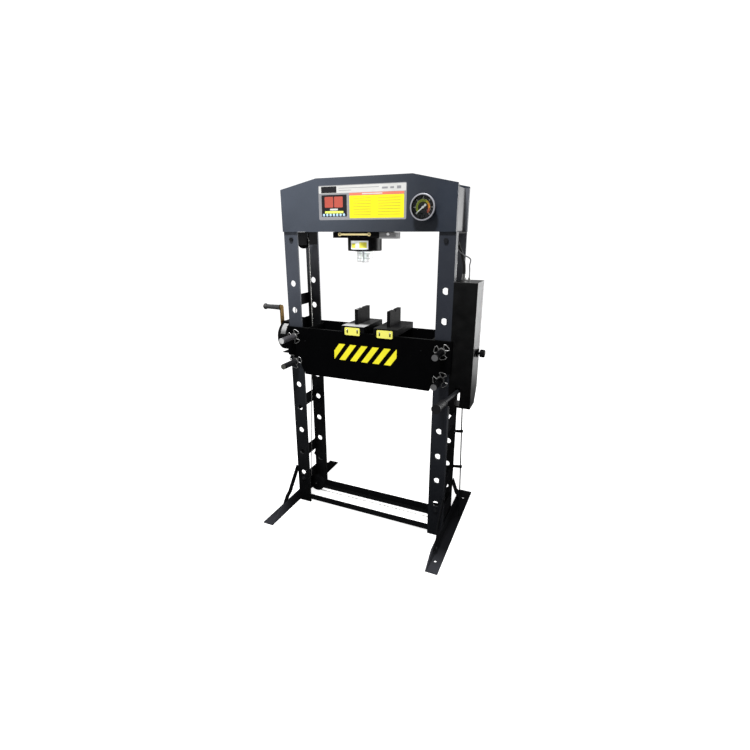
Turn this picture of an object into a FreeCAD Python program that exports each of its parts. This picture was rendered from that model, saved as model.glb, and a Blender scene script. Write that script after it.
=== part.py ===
import FreeCAD, Part
import math
import os

# Hydraulic shop press with an H frame, a sliding ram carriage and a rope winch for the bed.
# Millimetres. +Z is up, the front faces -Y and the origin is on the floor at the frame's centre.

V = FreeCAD.Vector
X_AXIS = V(1, 0, 0)
Y_AXIS = V(0, 1, 0)
Z_AXIS = V(0, 0, 1)
LEFT = -1
RIGHT = 1

# Frame
HEIGHT = 1820.0
HEADER_HALF_WIDTH = 448.0
HEADER_BOTTOM = 1578.0
HEADER_CHAMFER_X = 204.0
HEADER_CHAMFER_Z = 44.0
HEADER_OUTER_Y = 116.0
HEADER_PLATE = 10.0
UPRIGHT_INNER_X = 370.0
UPRIGHT_OUTER_X = 448.0
UPRIGHT_OUTER_Y = 106.0
UPRIGHT_PLATE = 10.0
UPRIGHT_BOTTOM = 3.0
LEG_DEEP = 40.0
PIN_X = 411.0
PIN_HOLE_R = 16.5
PIN_TOP_Z = 1319.0
PIN_PITCH = 140.25
PIN_ROWS = 9

FRAME_BOLTS = ((404.0, 1541.0), (PIN_X, 160.0))
FRAME_BOLT_R = 6.0

# Feet and braces
FOOT_WIDTH_X = 62.0
FOOT_THICK = 7.0
FOOT_HALF_LENGTH = 389.0
FOOT_INNER_X = 448.0
ANCHOR_X = 476.0
ANCHOR_Y = 305.0
ANCHOR_R = 8.0
BRACE_WIDTH = 34.0
BRACE_THICK = 6.0
BRACE_BOLT_Y = 252.0
BRACE_BOLT_Z = 38.0
BRACE_BOLT_R = 5.0

# Bed
BED_TOP = 1090.0
BED_BOTTOM = 831.0
BED_PLATE = 12.0
BED_OUTER_Y = 118.0
BED_EAR_X = 457.0
BED_END_X = 352.0
PIN_R = 15.0
PIN_FRONT_Y = -240.0

# Ram carriage
RAM_X = -41.0
CYLINDER_R = 85.0
CYLINDER_BOTTOM = 1488.0
CYLINDER_TOP = 1790.0
BORE_R = 56.0
RAM_R = 39.0
RAM_NOSE_Z = 1432.0

# Carriage rails, welded inside the header plates
RAIL_HALF = 330.0
RAIL_DEPTH = 16.0
RAIL_TOP = 1612.0

# Ropes
ROPE_R = 2.5
TOP_PULLEY_X = 399.0
TOP_PULLEY_Z = 1528.0
TOP_PULLEY_R = 31.0
LOW_PULLEY_X = 383.0
LOW_PULLEY_Z = 77.0
LOW_PULLEY_R = 47.0

# Winch
DRUM_Y = -25.0
DRUM_Z = 1018.0
GEAR_MODULE = 2.5
PINION_TEETH = 8
WHEEL_TEETH = 34
GEAR_REACH = GEAR_MODULE * (PINION_TEETH + WHEEL_TEETH) / 2
CRANK_ANGLE = math.radians(256.8)
CRANK_Y = DRUM_Y + GEAR_REACH * math.cos(CRANK_ANGLE)
CRANK_Z = DRUM_Z + GEAR_REACH * math.sin(CRANK_ANGLE)
GRIP_Z = 1175.0
COVER_R = 80.0
COVER_FACE_X = -535.0
COVER_SHEET = 2.0
WINCH_WEB_X = -454.0
WINCH_WEB = 4.0

# Pump box
BOX_X0 = 448.0
BOX_X1 = 557.0
BOX_Y0 = -106.0
BOX_Y1 = 35.0
BOX_Z0 = 762.0
BOX_Z1 = 1362.0
BOX_SHEET = 2.0
LEVER_X = 493.0
LEVER_Z = 836.0
LEVER_PIVOT_Y = -36.0
PUMP_KNOB_Y = -36.0
PUMP_KNOB_Z = 1028.0

# Hose passage through the upper bracket
HOSE_WEB_X = 406.0
HOSE_SIDE_Y = 50.0

# Gauge
GAUGE_X = 305.0
GAUGE_Z = 1679.0
GAUGE_R = 50.0

os.makedirs("parts", exist_ok=True)


# Building blocks

def box(x0, x1, y0, y1, z0, z1):
    """A block between two corners."""
    return Part.makeBox(x1 - x0, y1 - y0, z1 - z0, V(x0, y0, z0))


def rod(radius, start, end):
    """A round bar between two points."""
    along = end - start
    return Part.makeCylinder(radius, along.Length, start, along)


def ring(outer, inner, start, end):
    """A round tube between two points."""
    return rod(outer, start, end).cut(rod(inner, start, end))


def profile(points, sweep):
    """A closed polygon swept straight."""
    wire = Part.makePolygon(points + [points[0]])
    return Part.Face(wire).extrude(sweep)


def plate_xz(outline, y0, y1):
    """A plate that lies in the XZ plane."""
    points = [V(x, y0, z) for x, z in outline]
    return profile(points, V(0, y1 - y0, 0))


def plate_yz(outline, x0, x1):
    """A plate that lies in the YZ plane."""
    points = [V(x0, y, z) for y, z in outline]
    return profile(points, V(x1 - x0, 0, 0))


def hex_head(size, height, base, along):
    """A hexagon head that stands on a face, measured across its flats."""
    corner_r = size / math.sqrt(3)
    points = [V(corner_r * math.cos(k * math.pi / 3), corner_r * math.sin(k * math.pi / 3), 0) for k in range(6)]
    head = profile(points, V(0, 0, height))
    head.Placement = FreeCAD.Placement(base, FreeCAD.Rotation(Z_AXIS, along))
    return head


def bolt(size, shank_r, base, along, grip):
    """A hexagon bolt with its head on the base point and its shank sunk into the work."""
    head = hex_head(size, 0.6 * shank_r * 2, base, along)
    shank = rod(shank_r, base, base - along * grip)
    return head.fuse(shank)


def revolve_z(outline, x, y):
    """A turned piece about a vertical axis from (radius, height) pairs."""
    points = [V(r, 0, z) for r, z in outline]
    face = Part.Face(Part.makePolygon(points + [points[0]]))
    solid = face.revolve(V(0, 0, 0), Z_AXIS, 360)
    solid.translate(V(x, y, 0))
    return solid


def revolve_x(outline, y, z):
    """A turned piece about an axis along X from (x, radius) pairs."""
    points = [V(x, 0, r) for x, r in outline]
    face = Part.Face(Part.makePolygon(points + [points[0]]))
    solid = face.revolve(V(0, 0, 0), X_AXIS, 360)
    solid.translate(V(0, y, z))
    return solid


def revolve_y(outline, x, z):
    """A turned piece about an axis along Y from (y, radius) pairs."""
    points = [V(r, y, 0) for y, r in outline]
    face = Part.Face(Part.makePolygon(points + [points[0]]))
    solid = face.revolve(V(0, 0, 0), Y_AXIS, 360)
    solid.translate(V(x, 0, z))
    return solid


def mirrored(shape):
    """The same piece on the other side of the frame."""
    return shape.mirror(V(0, 0, 0), X_AXIS)


def sided(shape, side):
    """A piece drawn on the right, put on the side asked for."""
    return shape if side == RIGHT else mirrored(shape)


def bend_radius(before, corner, after, share):
    """The arc radius that takes a share of the shorter run on each side of a corner."""
    a = before - corner
    b = after - corner
    turn = math.pi - a.getAngle(b)
    return share * min(a.Length, b.Length) / math.tan(turn / 2)


def rounded_path(points, radii):
    """Straight runs joined by tangent arcs."""
    edges = []
    start = points[0]
    for before, corner, after, radius in zip(points, points[1:], points[2:], radii):
        a = (before - corner).normalize()
        b = (after - corner).normalize()
        half = a.getAngle(b) / 2
        reach = radius / math.tan(half)
        enter = corner + a * reach
        leave = corner + b * reach
        middle_way = (a + b).normalize()
        middle = corner + middle_way * (radius / math.sin(half) - radius)
        if (enter - start).Length > 1e-6:
            edges.append(Part.makeLine(start, enter))
        edges.append(Part.Arc(enter, middle, leave).toShape())
        start = leave
    edges.append(Part.makeLine(start, points[-1]))
    return Part.Wire(edges)


def tube(path, radius, name):
    """A round tube along a path, with its volume checked against section times length."""
    start = path.Edges[0].valueAt(path.Edges[0].FirstParameter)
    along = path.Edges[0].tangentAt(path.Edges[0].FirstParameter)
    section = Part.Wire(Part.makeCircle(radius, start, along))
    solid = path.makePipeShell([section], True, False)
    expected = math.pi * radius ** 2 * path.Length
    print(name, "length", round(path.Length, 1), "volume ratio", round(solid.Volume / expected, 4))
    return solid


def bent_tube(points, radius, name, share=0.45):
    """A hose or line with arcs as large as its runs allow."""
    radii = [bend_radius(a, b, c, share) for a, b, c in zip(points, points[1:], points[2:])]
    print(name, "bend radii", [round(r, 1) for r in radii])
    return tube(rounded_path(points, radii), radius, name)


def save(name, shape):
    """Write one piece as one STEP file."""
    cleaned = shape.removeSplitter()
    if not cleaned.isValid():
        print("INVALID", name)
    cleaned.exportStep("parts/" + name + ".step")


# Frame

def pin_heights():
    """Heights of the pin holes from the top row down."""
    return [PIN_TOP_Z - row * PIN_PITCH for row in range(PIN_ROWS)]


def header_plate(y0):
    """One of the two big header plates with its sloping shoulders."""
    shoulder_x = HEADER_HALF_WIDTH - HEADER_CHAMFER_X
    shoulder_z = HEIGHT - HEADER_CHAMFER_Z
    outline = [
        (-HEADER_HALF_WIDTH, HEADER_BOTTOM), (HEADER_HALF_WIDTH, HEADER_BOTTOM),
        (HEADER_HALF_WIDTH, shoulder_z), (shoulder_x, HEIGHT),
        (-shoulder_x, HEIGHT), (-HEADER_HALF_WIDTH, shoulder_z),
    ]
    return plate_xz(outline, y0, y0 + HEADER_PLATE)


def header():
    """Two header plates, their end plates and the rails that the carriage runs on."""
    inner_y = HEADER_OUTER_Y - HEADER_PLATE
    rail = box(-RAIL_HALF, RAIL_HALF, -inner_y, -inner_y + RAIL_DEPTH, RAIL_TOP - 12, RAIL_TOP)
    front = header_plate(-HEADER_OUTER_Y).fuse(rail)
    stem_hole = rod(8.0, V(GAUGE_X, -HEADER_OUTER_Y - 1, GAUGE_Z), V(GAUGE_X, -inner_y + 1, GAUGE_Z))
    save("header_front_plate", front.cut(stem_hole))
    save("header_rear_plate", front.mirror(V(0, 0, 0), Y_AXIS))
    end_x = 424.0
    end_thick = 6.0
    end_top = 1768.0
    end_half = inner_y - UPRIGHT_PLATE
    end = box(end_x, end_x + end_thick, -end_half, end_half, HEADER_BOTTOM + 2, end_top)
    bolt_hole = rod(7.0, V(end_x - 1, -60, 1742), V(end_x + end_thick + 1, -60, 1742))
    end = end.cut(bolt_hole)
    save("header_ends", Part.makeCompound([end, mirrored(end)]))


def upright(side, front):
    """A flat bar with the row of pin holes. The front right one has a leg that carries the pump box."""
    top = HEADER_BOTTOM + 192
    y0 = -UPRIGHT_OUTER_Y if front else UPRIGHT_OUTER_Y - UPRIGHT_PLATE
    bar = box(UPRIGHT_INNER_X, UPRIGHT_OUTER_X, y0, y0 + UPRIGHT_PLATE, UPRIGHT_BOTTOM, top)
    if front and side == RIGHT:
        leg = box(UPRIGHT_OUTER_X - UPRIGHT_PLATE, UPRIGHT_OUTER_X, y0, y0 + LEG_DEEP, UPRIGHT_BOTTOM, HEADER_BOTTOM)
        bar = bar.fuse(leg)
    holes = [(PIN_X, z, PIN_HOLE_R) for z in pin_heights()]
    holes += [(x, z, FRAME_BOLT_R) for x, z in FRAME_BOLTS]
    for x, z, radius in holes:
        bar = bar.cut(rod(radius, V(x, y0 - 1, z), V(x, y0 + UPRIGHT_PLATE + 1, z)))
    return sided(bar, side)


def uprights():
    """Four uprights, one at each corner."""
    for side, side_name in ((LEFT, "left"), (RIGHT, "right")):
        save("upright_front_" + side_name, upright(side, True))
        save("upright_rear_" + side_name, upright(side, False))


TIE_X = 438.0
TIE_THICK = 6.0


def tie_plate(z0, z1, hole_z):
    """A flat plate between a front and a rear upright, with one round hole."""
    half = UPRIGHT_OUTER_Y - UPRIGHT_PLATE
    plate = box(TIE_X, TIE_X + TIE_THICK, -half, half, z0, z1)
    return plate.cut(rod(6.0, V(TIE_X - 1, 0, hole_z), V(TIE_X + TIE_THICK + 1, 0, hole_z)))


def pulley_bracket_top():
    """An angle under the header that carries the upper pulley between two lugs."""
    half = UPRIGHT_OUTER_Y - UPRIGHT_PLATE
    wall = 6.0
    z_low = 1512.0
    z_top = HEADER_BOTTOM - 1
    x0 = UPRIGHT_INNER_X + 2
    channel = box(x0, x0 + wall, -half, half, z_low, z_top)
    channel = channel.fuse(box(x0, UPRIGHT_OUTER_X - 2, -half, half, z_top - wall, z_top))
    for y in (-HOSE_SIDE_Y, HOSE_SIDE_Y):
        channel = channel.cut(rod(11.0, V(HOSE_WEB_X, y, z_top - wall - 1), V(HOSE_WEB_X, y, z_top + 1)))
    slot = box(UPRIGHT_INNER_X - 1, UPRIGHT_INNER_X + 12, -9, 9, z_low - 1, z_top - wall)
    channel = channel.cut(slot)
    for y0 in (-13.0, 9.0):
        lug = box(TOP_PULLEY_X - 12, TOP_PULLEY_X + 12, y0, y0 + 4, TOP_PULLEY_Z - 14, z_top - wall)
        channel = channel.fuse(lug)
    return channel.cut(rod(5.0, V(TOP_PULLEY_X, -14, TOP_PULLEY_Z), V(TOP_PULLEY_X, 14, TOP_PULLEY_Z)))


def pulley(x, z, rope_r, bore_r):
    """A grooved pulley on an axle along Y. The groove holds the rope at the given radius."""
    rim = rope_r + 4.0
    floor = rope_r - ROPE_R - 0.2
    half = 7.0
    outline = [
        (-half, bore_r), (half, bore_r), (half, rim), (half - 2, rim),
        (3.0, floor), (-3.0, floor), (-half + 2, rim), (-half, rim),
    ]
    return revolve_y(outline, x, z)


def pulley_bracket_low():
    """A box-like bracket between the uprights that carries the lower pulley."""
    half = UPRIGHT_OUTER_Y - UPRIGHT_PLATE
    wall = box(TIE_X, TIE_X + TIE_THICK, -half, half, 12, 150)
    shape = wall
    for y0 in (-15.0, 10.0):
        shape = shape.fuse(box(LOW_PULLEY_X - 14, TIE_X, y0, y0 + 5, LOW_PULLEY_Z - 14, LOW_PULLEY_Z + 14))
    return shape.cut(rod(6.0, V(LOW_PULLEY_X, -16, LOW_PULLEY_Z), V(LOW_PULLEY_X, 16, LOW_PULLEY_Z)))


def leg_room():
    """The space of the front right upright's leg."""
    return box(TIE_X, UPRIGHT_OUTER_X, -UPRIGHT_OUTER_Y, -UPRIGHT_OUTER_Y + LEG_DEEP, 0, HEADER_BOTTOM)


def side_ties():
    """Three flat plates on each side between the front and the rear upright."""
    plates = []
    for z0, z1, hole_z in ((1190, 1250, 1222), (590, 660, 612), (262, 331, 285)):
        plate = tie_plate(z0, z1, hole_z)
        plates.append(plate.cut(leg_room()))
        plates.append(mirrored(plate))
    save("side_ties", Part.makeCompound(plates))


def pulleys():
    """The pulley brackets, the pulleys and their axles."""
    top_axle = rod(5.0, V(TOP_PULLEY_X, -16, TOP_PULLEY_Z), V(TOP_PULLEY_X, 16, TOP_PULLEY_Z))
    low_axle = rod(6.0, V(LOW_PULLEY_X, -18, LOW_PULLEY_Z), V(LOW_PULLEY_X, 18, LOW_PULLEY_Z))
    lever_pin = rod(5.0, V(471, LEVER_PIVOT_Y, LEVER_Z), V(529, LEVER_PIVOT_Y, LEVER_Z))
    pivots = [lever_pin]
    wheels = []
    brackets = []
    for side in (LEFT, RIGHT):
        for bracket in (pulley_bracket_top(), pulley_bracket_low()):
            if side == RIGHT:
                bracket = bracket.cut(leg_room())
            brackets.append(sided(bracket, side))
        top = pulley(TOP_PULLEY_X, TOP_PULLEY_Z, TOP_PULLEY_R, 5.0)
        low = pulley(LOW_PULLEY_X, LOW_PULLEY_Z, LOW_PULLEY_R, 6.0)
        wheels += [sided(top, side), sided(low, side)]
        pivots += [sided(top_axle, side), sided(low_axle, side)]
    save("pulley_brackets", Part.makeCompound(brackets))
    save("pulleys", Part.makeCompound(wheels))
    save("pivot_pins", Part.makeCompound(pivots))


def foot():
    """An angle foot with its upright leg cut down towards both ends."""
    slope_y = 298.0
    x1 = FOOT_INNER_X + FOOT_THICK
    outline = [
        (-FOOT_HALF_LENGTH, 0), (FOOT_HALF_LENGTH, 0), (FOOT_HALF_LENGTH, FOOT_THICK),
        (slope_y, FOOT_WIDTH_X), (-slope_y, FOOT_WIDTH_X), (-FOOT_HALF_LENGTH, FOOT_THICK),
    ]
    leg = plate_yz(outline, FOOT_INNER_X, x1)
    flat = box(FOOT_INNER_X, FOOT_INNER_X + FOOT_WIDTH_X, -FOOT_HALF_LENGTH, FOOT_HALF_LENGTH, 0, FOOT_THICK)
    shape = leg.fuse(flat)
    for y in (-ANCHOR_Y, ANCHOR_Y):
        shape = shape.cut(rod(ANCHOR_R, V(ANCHOR_X, y, -1), V(ANCHOR_X, y, FOOT_THICK + 1)))
    return shape


def brace():
    """A flat strut with a set in it, so that it lies on the upright's edge and outside the foot's leg."""
    top = V(0, -101.0, 233.0)
    low = V(0, -262.0, 34.0)
    along = low - top
    length = along.Length
    set_start = 0.62 * length
    set_end = 0.72 * length
    shift = FOOT_THICK
    inner = UPRIGHT_OUTER_X
    outline = [
        (0, 0), (set_start, 0), (set_end, shift), (length, shift),
        (length, shift + BRACE_THICK), (set_end, shift + BRACE_THICK), (set_start, BRACE_THICK), (0, BRACE_THICK),
    ]
    unit = V(along).normalize()
    across = V(0, -unit.z, unit.y)
    points = [top + unit * s + V(inner + x, 0, 0) - across * (BRACE_WIDTH / 2) for s, x in outline]
    bar = profile(points, across * BRACE_WIDTH)
    hole = rod(BRACE_BOLT_R, V(inner, -BRACE_BOLT_Y, BRACE_BOLT_Z), V(inner + 30, -BRACE_BOLT_Y, BRACE_BOLT_Z))
    return bar.cut(hole)


def bottom_bars():
    """Front flat bar and rear angle that join the two sides near the floor."""
    half = UPRIGHT_OUTER_X - 12
    inner = UPRIGHT_OUTER_Y - UPRIGHT_PLATE
    front = box(-half, half, -inner, -inner + 6, 16, 50)
    save("crossbar_front", front)
    rear = box(-half, half, inner - 6, inner, 3, 48).fuse(box(-half, half, inner - 34, inner, 3, 9))
    save("crossbar_rear", rear)


def feet():
    """Feet and the four braces."""
    for side, side_name in ((LEFT, "left"), (RIGHT, "right")):
        save("foot_" + side_name, sided(foot(), side))
        front = sided(brace(), side)
        rear = front.mirror(V(0, 0, 0), Y_AXIS)
        save("braces_" + side_name, Part.makeCompound([front, rear]))


def frame_bolts():
    """Hexagon bolts of the frame: header joints, lower bracket joints and the brace ends."""
    bolts = []
    for side in (LEFT, RIGHT):
        for x, z in FRAME_BOLTS:
            for y in (-UPRIGHT_OUTER_Y, UPRIGHT_OUTER_Y):
                along = V(0, 1 if y > 0 else -1, 0)
                bolts.append(bolt(19, FRAME_BOLT_R, V(side * x, y, z), along, UPRIGHT_PLATE))
        outer = FOOT_INNER_X + FOOT_THICK + BRACE_THICK
        for y in (-BRACE_BOLT_Y, BRACE_BOLT_Y):
            bolts.append(bolt(16, BRACE_BOLT_R, V(side * outer, y, BRACE_BOLT_Z), V(side, 0, 0), BRACE_THICK))
    return bolts


# Bed

def bed_plate():
    """A deep bed plate with ears that reach over the uprights, and cut lower corners."""
    outline = [
        (-BED_EAR_X, BED_TOP), (BED_EAR_X, BED_TOP), (BED_EAR_X, 933.4), (386, 904.4),
        (363, 851), (BED_END_X, BED_BOTTOM), (-BED_END_X, BED_BOTTOM), (-363, 851),
        (-386, 904.4), (-BED_EAR_X, 933.4),
    ]
    plate = plate_xz(outline, -BED_OUTER_Y, -BED_OUTER_Y + BED_PLATE)
    for side in (LEFT, RIGHT):
        x = side * PIN_X
        z = pin_heights()[2]
        plate = plate.cut(rod(PIN_HOLE_R, V(x, -BED_OUTER_Y - 1, z), V(x, -BED_OUTER_Y + BED_PLATE + 1, z)))
    return plate


def bed_end():
    """End plate of the bed with two shelves that the ropes pass through."""
    half = BED_OUTER_Y - BED_PLATE
    x0 = BED_END_X - 6
    plate = box(x0, BED_END_X, -half, half, BED_BOTTOM + 6, BED_TOP - 8)
    for z, reach in ((1060.0, 382.0), (862.0, 396.0)):
        plate = plate.fuse(box(BED_END_X, reach, -20, 20, z, z + 6))
    return plate


def rope_hole(shape, x, z):
    """A small hole for a rope through a shelf."""
    return shape.cut(rod(ROPE_R + 1.5, V(x, 0, z - 2), V(x, 0, z + 8)))


UPPER_RUN_X = TOP_PULLEY_X - TOP_PULLEY_R
LOW_ANCHOR_X = 384.0


def bed():
    """Two plates and two end plates."""
    front = bed_plate()
    save("bed_front_plate", front)
    save("bed_rear_plate", front.mirror(V(0, 0, 0), Y_AXIS))
    end = rope_hole(bed_end(), UPPER_RUN_X, 1060.0)
    left_end = mirrored(rope_hole(end, LOW_ANCHOR_X, 862.0))
    save("bed_ends", Part.makeCompound([left_end, end]))


def bed_pin():
    """A round bed pin from its front end to behind the rear upright."""
    front = V(0, PIN_FRONT_Y, 0)
    back = V(0, BED_OUTER_Y + 12, 0)
    groove = ring(PIN_R + 1, PIN_R - 1.5, V(0, PIN_FRONT_Y + 24, 0), V(0, PIN_FRONT_Y + 27, 0))
    return rod(PIN_R, front, back).cut(groove)


KEEPER_Y = -122.0
KEEPER_WIRE_R = 2.2
LOBES = 3
LOBE_INNER = 17.0
LOBE_INNER_HALF = 6.0
LOBE_MIDDLE = 31.0
LOBE_MIDDLE_HALF = 18.5
LOBE_OUTER = 38.0
LOBE_OUTER_HALF = 11.0


def keeper(turn):
    """A keeper bent from wire into three lobes that widen outwards, on a hub round the bed pin."""
    centre = V(0, KEEPER_Y, 0)
    shape = ring(PIN_R + 5, PIN_R, V(0, KEEPER_Y - 2, 0), V(0, KEEPER_Y + 2, 0))
    bends = [
        (LOBE_INNER, LOBE_INNER_HALF), (LOBE_MIDDLE, LOBE_MIDDLE_HALF), (LOBE_OUTER, LOBE_OUTER_HALF),
        (LOBE_OUTER, -LOBE_OUTER_HALF), (LOBE_MIDDLE, -LOBE_MIDDLE_HALF), (LOBE_INNER, -LOBE_INNER_HALF),
    ]
    for k in range(LOBES):
        angle = math.radians(turn + 360 * k / LOBES)
        radial = V(math.cos(angle), 0, math.sin(angle))
        sideways = V(-math.sin(angle), 0, math.cos(angle))
        corners = [centre + radial * reach + sideways * half for reach, half in bends]
        for a, b in zip(corners, corners[1:]):
            shape = shape.fuse(rod(KEEPER_WIRE_R, a, b))
        for corner in corners[1:-1]:
            shape = shape.fuse(Part.makeSphere(KEEPER_WIRE_R, corner))
    return shape.cut(rod(PIN_R, V(0, KEEPER_Y - 20, 0), V(0, KEEPER_Y + 20, 0)))


def pins():
    """Four bed pins, each with its wire keeper welded on."""
    turns = {"upper_left": 62, "upper_right": 44, "lower_left": 19, "lower_right": 70}
    for name, turn in turns.items():
        x = -PIN_X if "left" in name else PIN_X
        z = pin_heights()[2 if "upper" in name else 3]
        place = V(x, 0, z)
        pin = bed_pin()
        pin.translate(place)
        grip = keeper(turn)
        grip.translate(place)
        save("bed_pin_" + name, pin.fuse(grip))


def press_block():
    """A block with a thick base, an upright web and a notch in the web's top."""
    base = box(-64, 64, -119, 119, BED_TOP, BED_TOP + 32)
    web = plate_yz(
        [(-75, BED_TOP + 32), (75, BED_TOP + 32), (75, 1202), (14, 1202), (0, 1188), (-14, 1202), (-75, 1202)],
        -9, 9)
    return base.fuse(web)


def block_tag():
    """A tag bolted to the block's front end. It hooks over the bed plate's face."""
    tag = box(-49, 49, -125, -119.5, 1074, 1117)
    for x in (-28.0, 28.0):
        slot = box(x - 4, x + 4, -126, -118, 1088, 1104)
        for z in (1088.0, 1104.0):
            slot = slot.fuse(rod(4.0, V(x, -126, z), V(x, -118, z)))
        tag = tag.cut(slot)
    return tag


BLOCK_CENTRES = (("left", -58.0), ("right", 120.0))


def press_blocks():
    """Two loose press blocks that rest on the bed, each with its tag."""
    for name, x in BLOCK_CENTRES:
        block = press_block()
        block.translate(V(x, 0, 0))
        tag = block_tag()
        tag.translate(V(x, 0, 0))
        save("press_block_" + name, block)
        save("block_tag_" + name, tag)


# Ram carriage

def carriage():
    """Slide block: a flange on the rails, a neck between them and the plate seen below the header."""
    x0 = RAM_X - 123
    x1 = RAM_X + 120
    seat = RAIL_TOP + 0.3
    lower = box(x0, x1, -104, 104, 1550, HEADER_BOTTOM - 1)
    neck = box(x0, x1, -89.5, 89.5, HEADER_BOTTOM - 1, seat)
    flange = box(x0, x1, -105.5, 105.5, seat, RAIL_TOP + 14)
    shape = lower.fuse(neck).fuse(flange)
    return shape.cut(rod(CYLINDER_R, V(RAM_X, 0, 1500), V(RAM_X, 0, 1700)))


def cylinder():
    """Cylinder body closed at the top, with its bore and a side port."""
    gland_seat = 1520.0
    bore_top = CYLINDER_TOP - 24
    outline = [
        (BORE_R, CYLINDER_BOTTOM), (CYLINDER_R - 2, CYLINDER_BOTTOM), (CYLINDER_R, CYLINDER_BOTTOM + 2),
        (CYLINDER_R, CYLINDER_TOP - 4), (CYLINDER_R - 4, CYLINDER_TOP), (0, CYLINDER_TOP), (0, bore_top),
        (BORE_R, bore_top),
    ]
    body = revolve_z(outline, RAM_X, 0)
    save("cylinder_body", body)
    gland = revolve_z(
        [(RAM_R + 0.05, CYLINDER_BOTTOM - 3), (BORE_R - 4, CYLINDER_BOTTOM - 3), (BORE_R - 4, CYLINDER_BOTTOM),
         (BORE_R, CYLINDER_BOTTOM), (BORE_R, gland_seat), (RAM_R + 0.05, gland_seat)],
        RAM_X, 0)
    save("cylinder_gland", gland)


PISTON_LOW = 1726.0


def ram():
    """Ram rod with its ringed nose and a cross hole, and the piston at its top."""
    nose = RAM_NOSE_Z
    outline = [(0, nose), (RAM_R - 2, nose), (RAM_R, nose + 2)]
    for groove in (nose + 14, nose + 24, nose + 40):
        outline += [(RAM_R, groove), (RAM_R - 1.5, groove + 0.5), (RAM_R - 1.5, groove + 2.5), (RAM_R, groove + 3)]
    outline += [(RAM_R, PISTON_LOW), (BORE_R - 0.05, PISTON_LOW), (BORE_R - 0.05, PISTON_LOW + 34),
                (0, PISTON_LOW + 34)]
    shape = revolve_z(outline, RAM_X, 0)
    hole_z = nose + 32
    return shape.cut(rod(4.0, V(RAM_X, 0, hole_z), V(RAM_X + 60, -60, hole_z)))


def return_spring():
    """Plain sleeve that takes the place of the hidden return spring round the ram."""
    return revolve_z(
        [(RAM_R + 3, 1521), (RAM_R + 11, 1521), (RAM_R + 11, PISTON_LOW - 1), (RAM_R + 3, PISTON_LOW - 1)],
        RAM_X, 0)


def carriage_bar():
    """Flat bar on the carriage's front with an eye at each end."""
    bar = box(-124, 31, -110, -104, 1562, 1571)
    for x in (-124.0, 31.0):
        bar = bar.fuse(rod(8.5, V(x, -110, 1566.5), V(x, -104, 1566.5)))
        bar = bar.cut(rod(4.0, V(x, -111, 1566.5), V(x, -103, 1566.5)))
    return bar


def carriage_set():
    """All pieces that slide along the header."""
    save("carriage_block", carriage())
    cylinder()
    save("ram", ram())
    save("return_spring", return_spring())
    save("carriage_bar", carriage_bar())
    clamp = box(79, 163, -100, -40, 1547, 1576)
    save("carriage_clamp", clamp.cut(rod(5.0, V(125, -101, 1566), V(125, -70, 1566))))


# Gauge

def gauge():
    """Pressure gauge on the header's front, with its stem and block behind the plate."""
    back = -HEADER_OUTER_Y - 1
    front = -158.0
    case = revolve_y(
        [(back, 0), (back, GAUGE_R - 4), (back - 4, GAUGE_R), (front + 6, GAUGE_R), (front + 6, GAUGE_R - 3),
         (back - 6, GAUGE_R - 3), (back - 6, 0)],
        GAUGE_X, GAUGE_Z)
    stem = rod(7.5, V(GAUGE_X, back, GAUGE_Z), V(GAUGE_X, -HEADER_OUTER_Y + HEADER_PLATE, GAUGE_Z))
    bezel = revolve_y(
        [(front + 8, GAUGE_R), (front + 8, GAUGE_R + 6), (front + 1, GAUGE_R + 6), (front, GAUGE_R + 4),
         (front, GAUGE_R - 2), (front + 3, GAUGE_R - 2), (front + 3, GAUGE_R)],
        GAUGE_X, GAUGE_Z)
    block = box(GAUGE_X - 16, GAUGE_X + 16, -106, -78, GAUGE_Z - 16, GAUGE_Z + 16)
    save("gauge_case", case.fuse(stem).fuse(bezel).fuse(block))
    dial = ring(GAUGE_R - 3, 2.0, V(GAUGE_X, front + 12, GAUGE_Z), V(GAUGE_X, front + 14, GAUGE_Z))
    save("gauge_dial", dial)
    glass = rod(GAUGE_R, V(GAUGE_X, front + 3, GAUGE_Z), V(GAUGE_X, front + 5.5, GAUGE_Z))
    save("gauge_glass", glass)
    hub = rod(5.0, V(0, front + 8, 0), V(0, front + 11, 0))
    spindle = rod(1.95, V(0, front + 11, 0), V(0, front + 16, 0))
    blade = plate_xz([(-14, -2.5), (0, -3), (40, -0.8), (40, 0.8), (0, 3), (-14, 2.5)], front + 8.5, front + 9.7)
    needle = hub.fuse(spindle).fuse(blade)
    needle.rotate(V(0, 0, 0), Y_AXIS, 180 - 39)
    needle.translate(V(GAUGE_X, 0, GAUGE_Z))
    save("gauge_needle", needle)


# Winch

def gear(teeth, x0, x1, bore_r, turn):
    """A spur gear on an axis along X, with straight-sided teeth from its module."""
    pitch_r = GEAR_MODULE * teeth / 2
    tip_r = pitch_r + 0.9 * GEAR_MODULE
    root_r = pitch_r - 1.15 * GEAR_MODULE
    step = 2 * math.pi / teeth
    points = []
    for k in range(teeth):
        centre = k * step + turn
        for offset, radius in ((-0.30, root_r), (-0.13, tip_r), (0.13, tip_r), (0.30, root_r)):
            angle = centre + offset * step
            points.append(V(x0, radius * math.cos(angle), radius * math.sin(angle)))
    wheel = profile(points, V(x1 - x0, 0, 0))
    return wheel.cut(rod(bore_r, V(x0 - 1, 0, 0), V(x1 + 1, 0, 0)))


DRUM_CORE_R = 22.3
DRUM_ROPE_R = 25.0
DRUM_FLANGE_R = 40.0
AXLE_R = 8.0
STUB_R = 5.0
RUNNING_GAP = 0.05


def rope_slot(z0, z1):
    """The slot that lets the lifting rope out of the winch."""
    return box(-496, -466, -10, 10, z0, z1)


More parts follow.
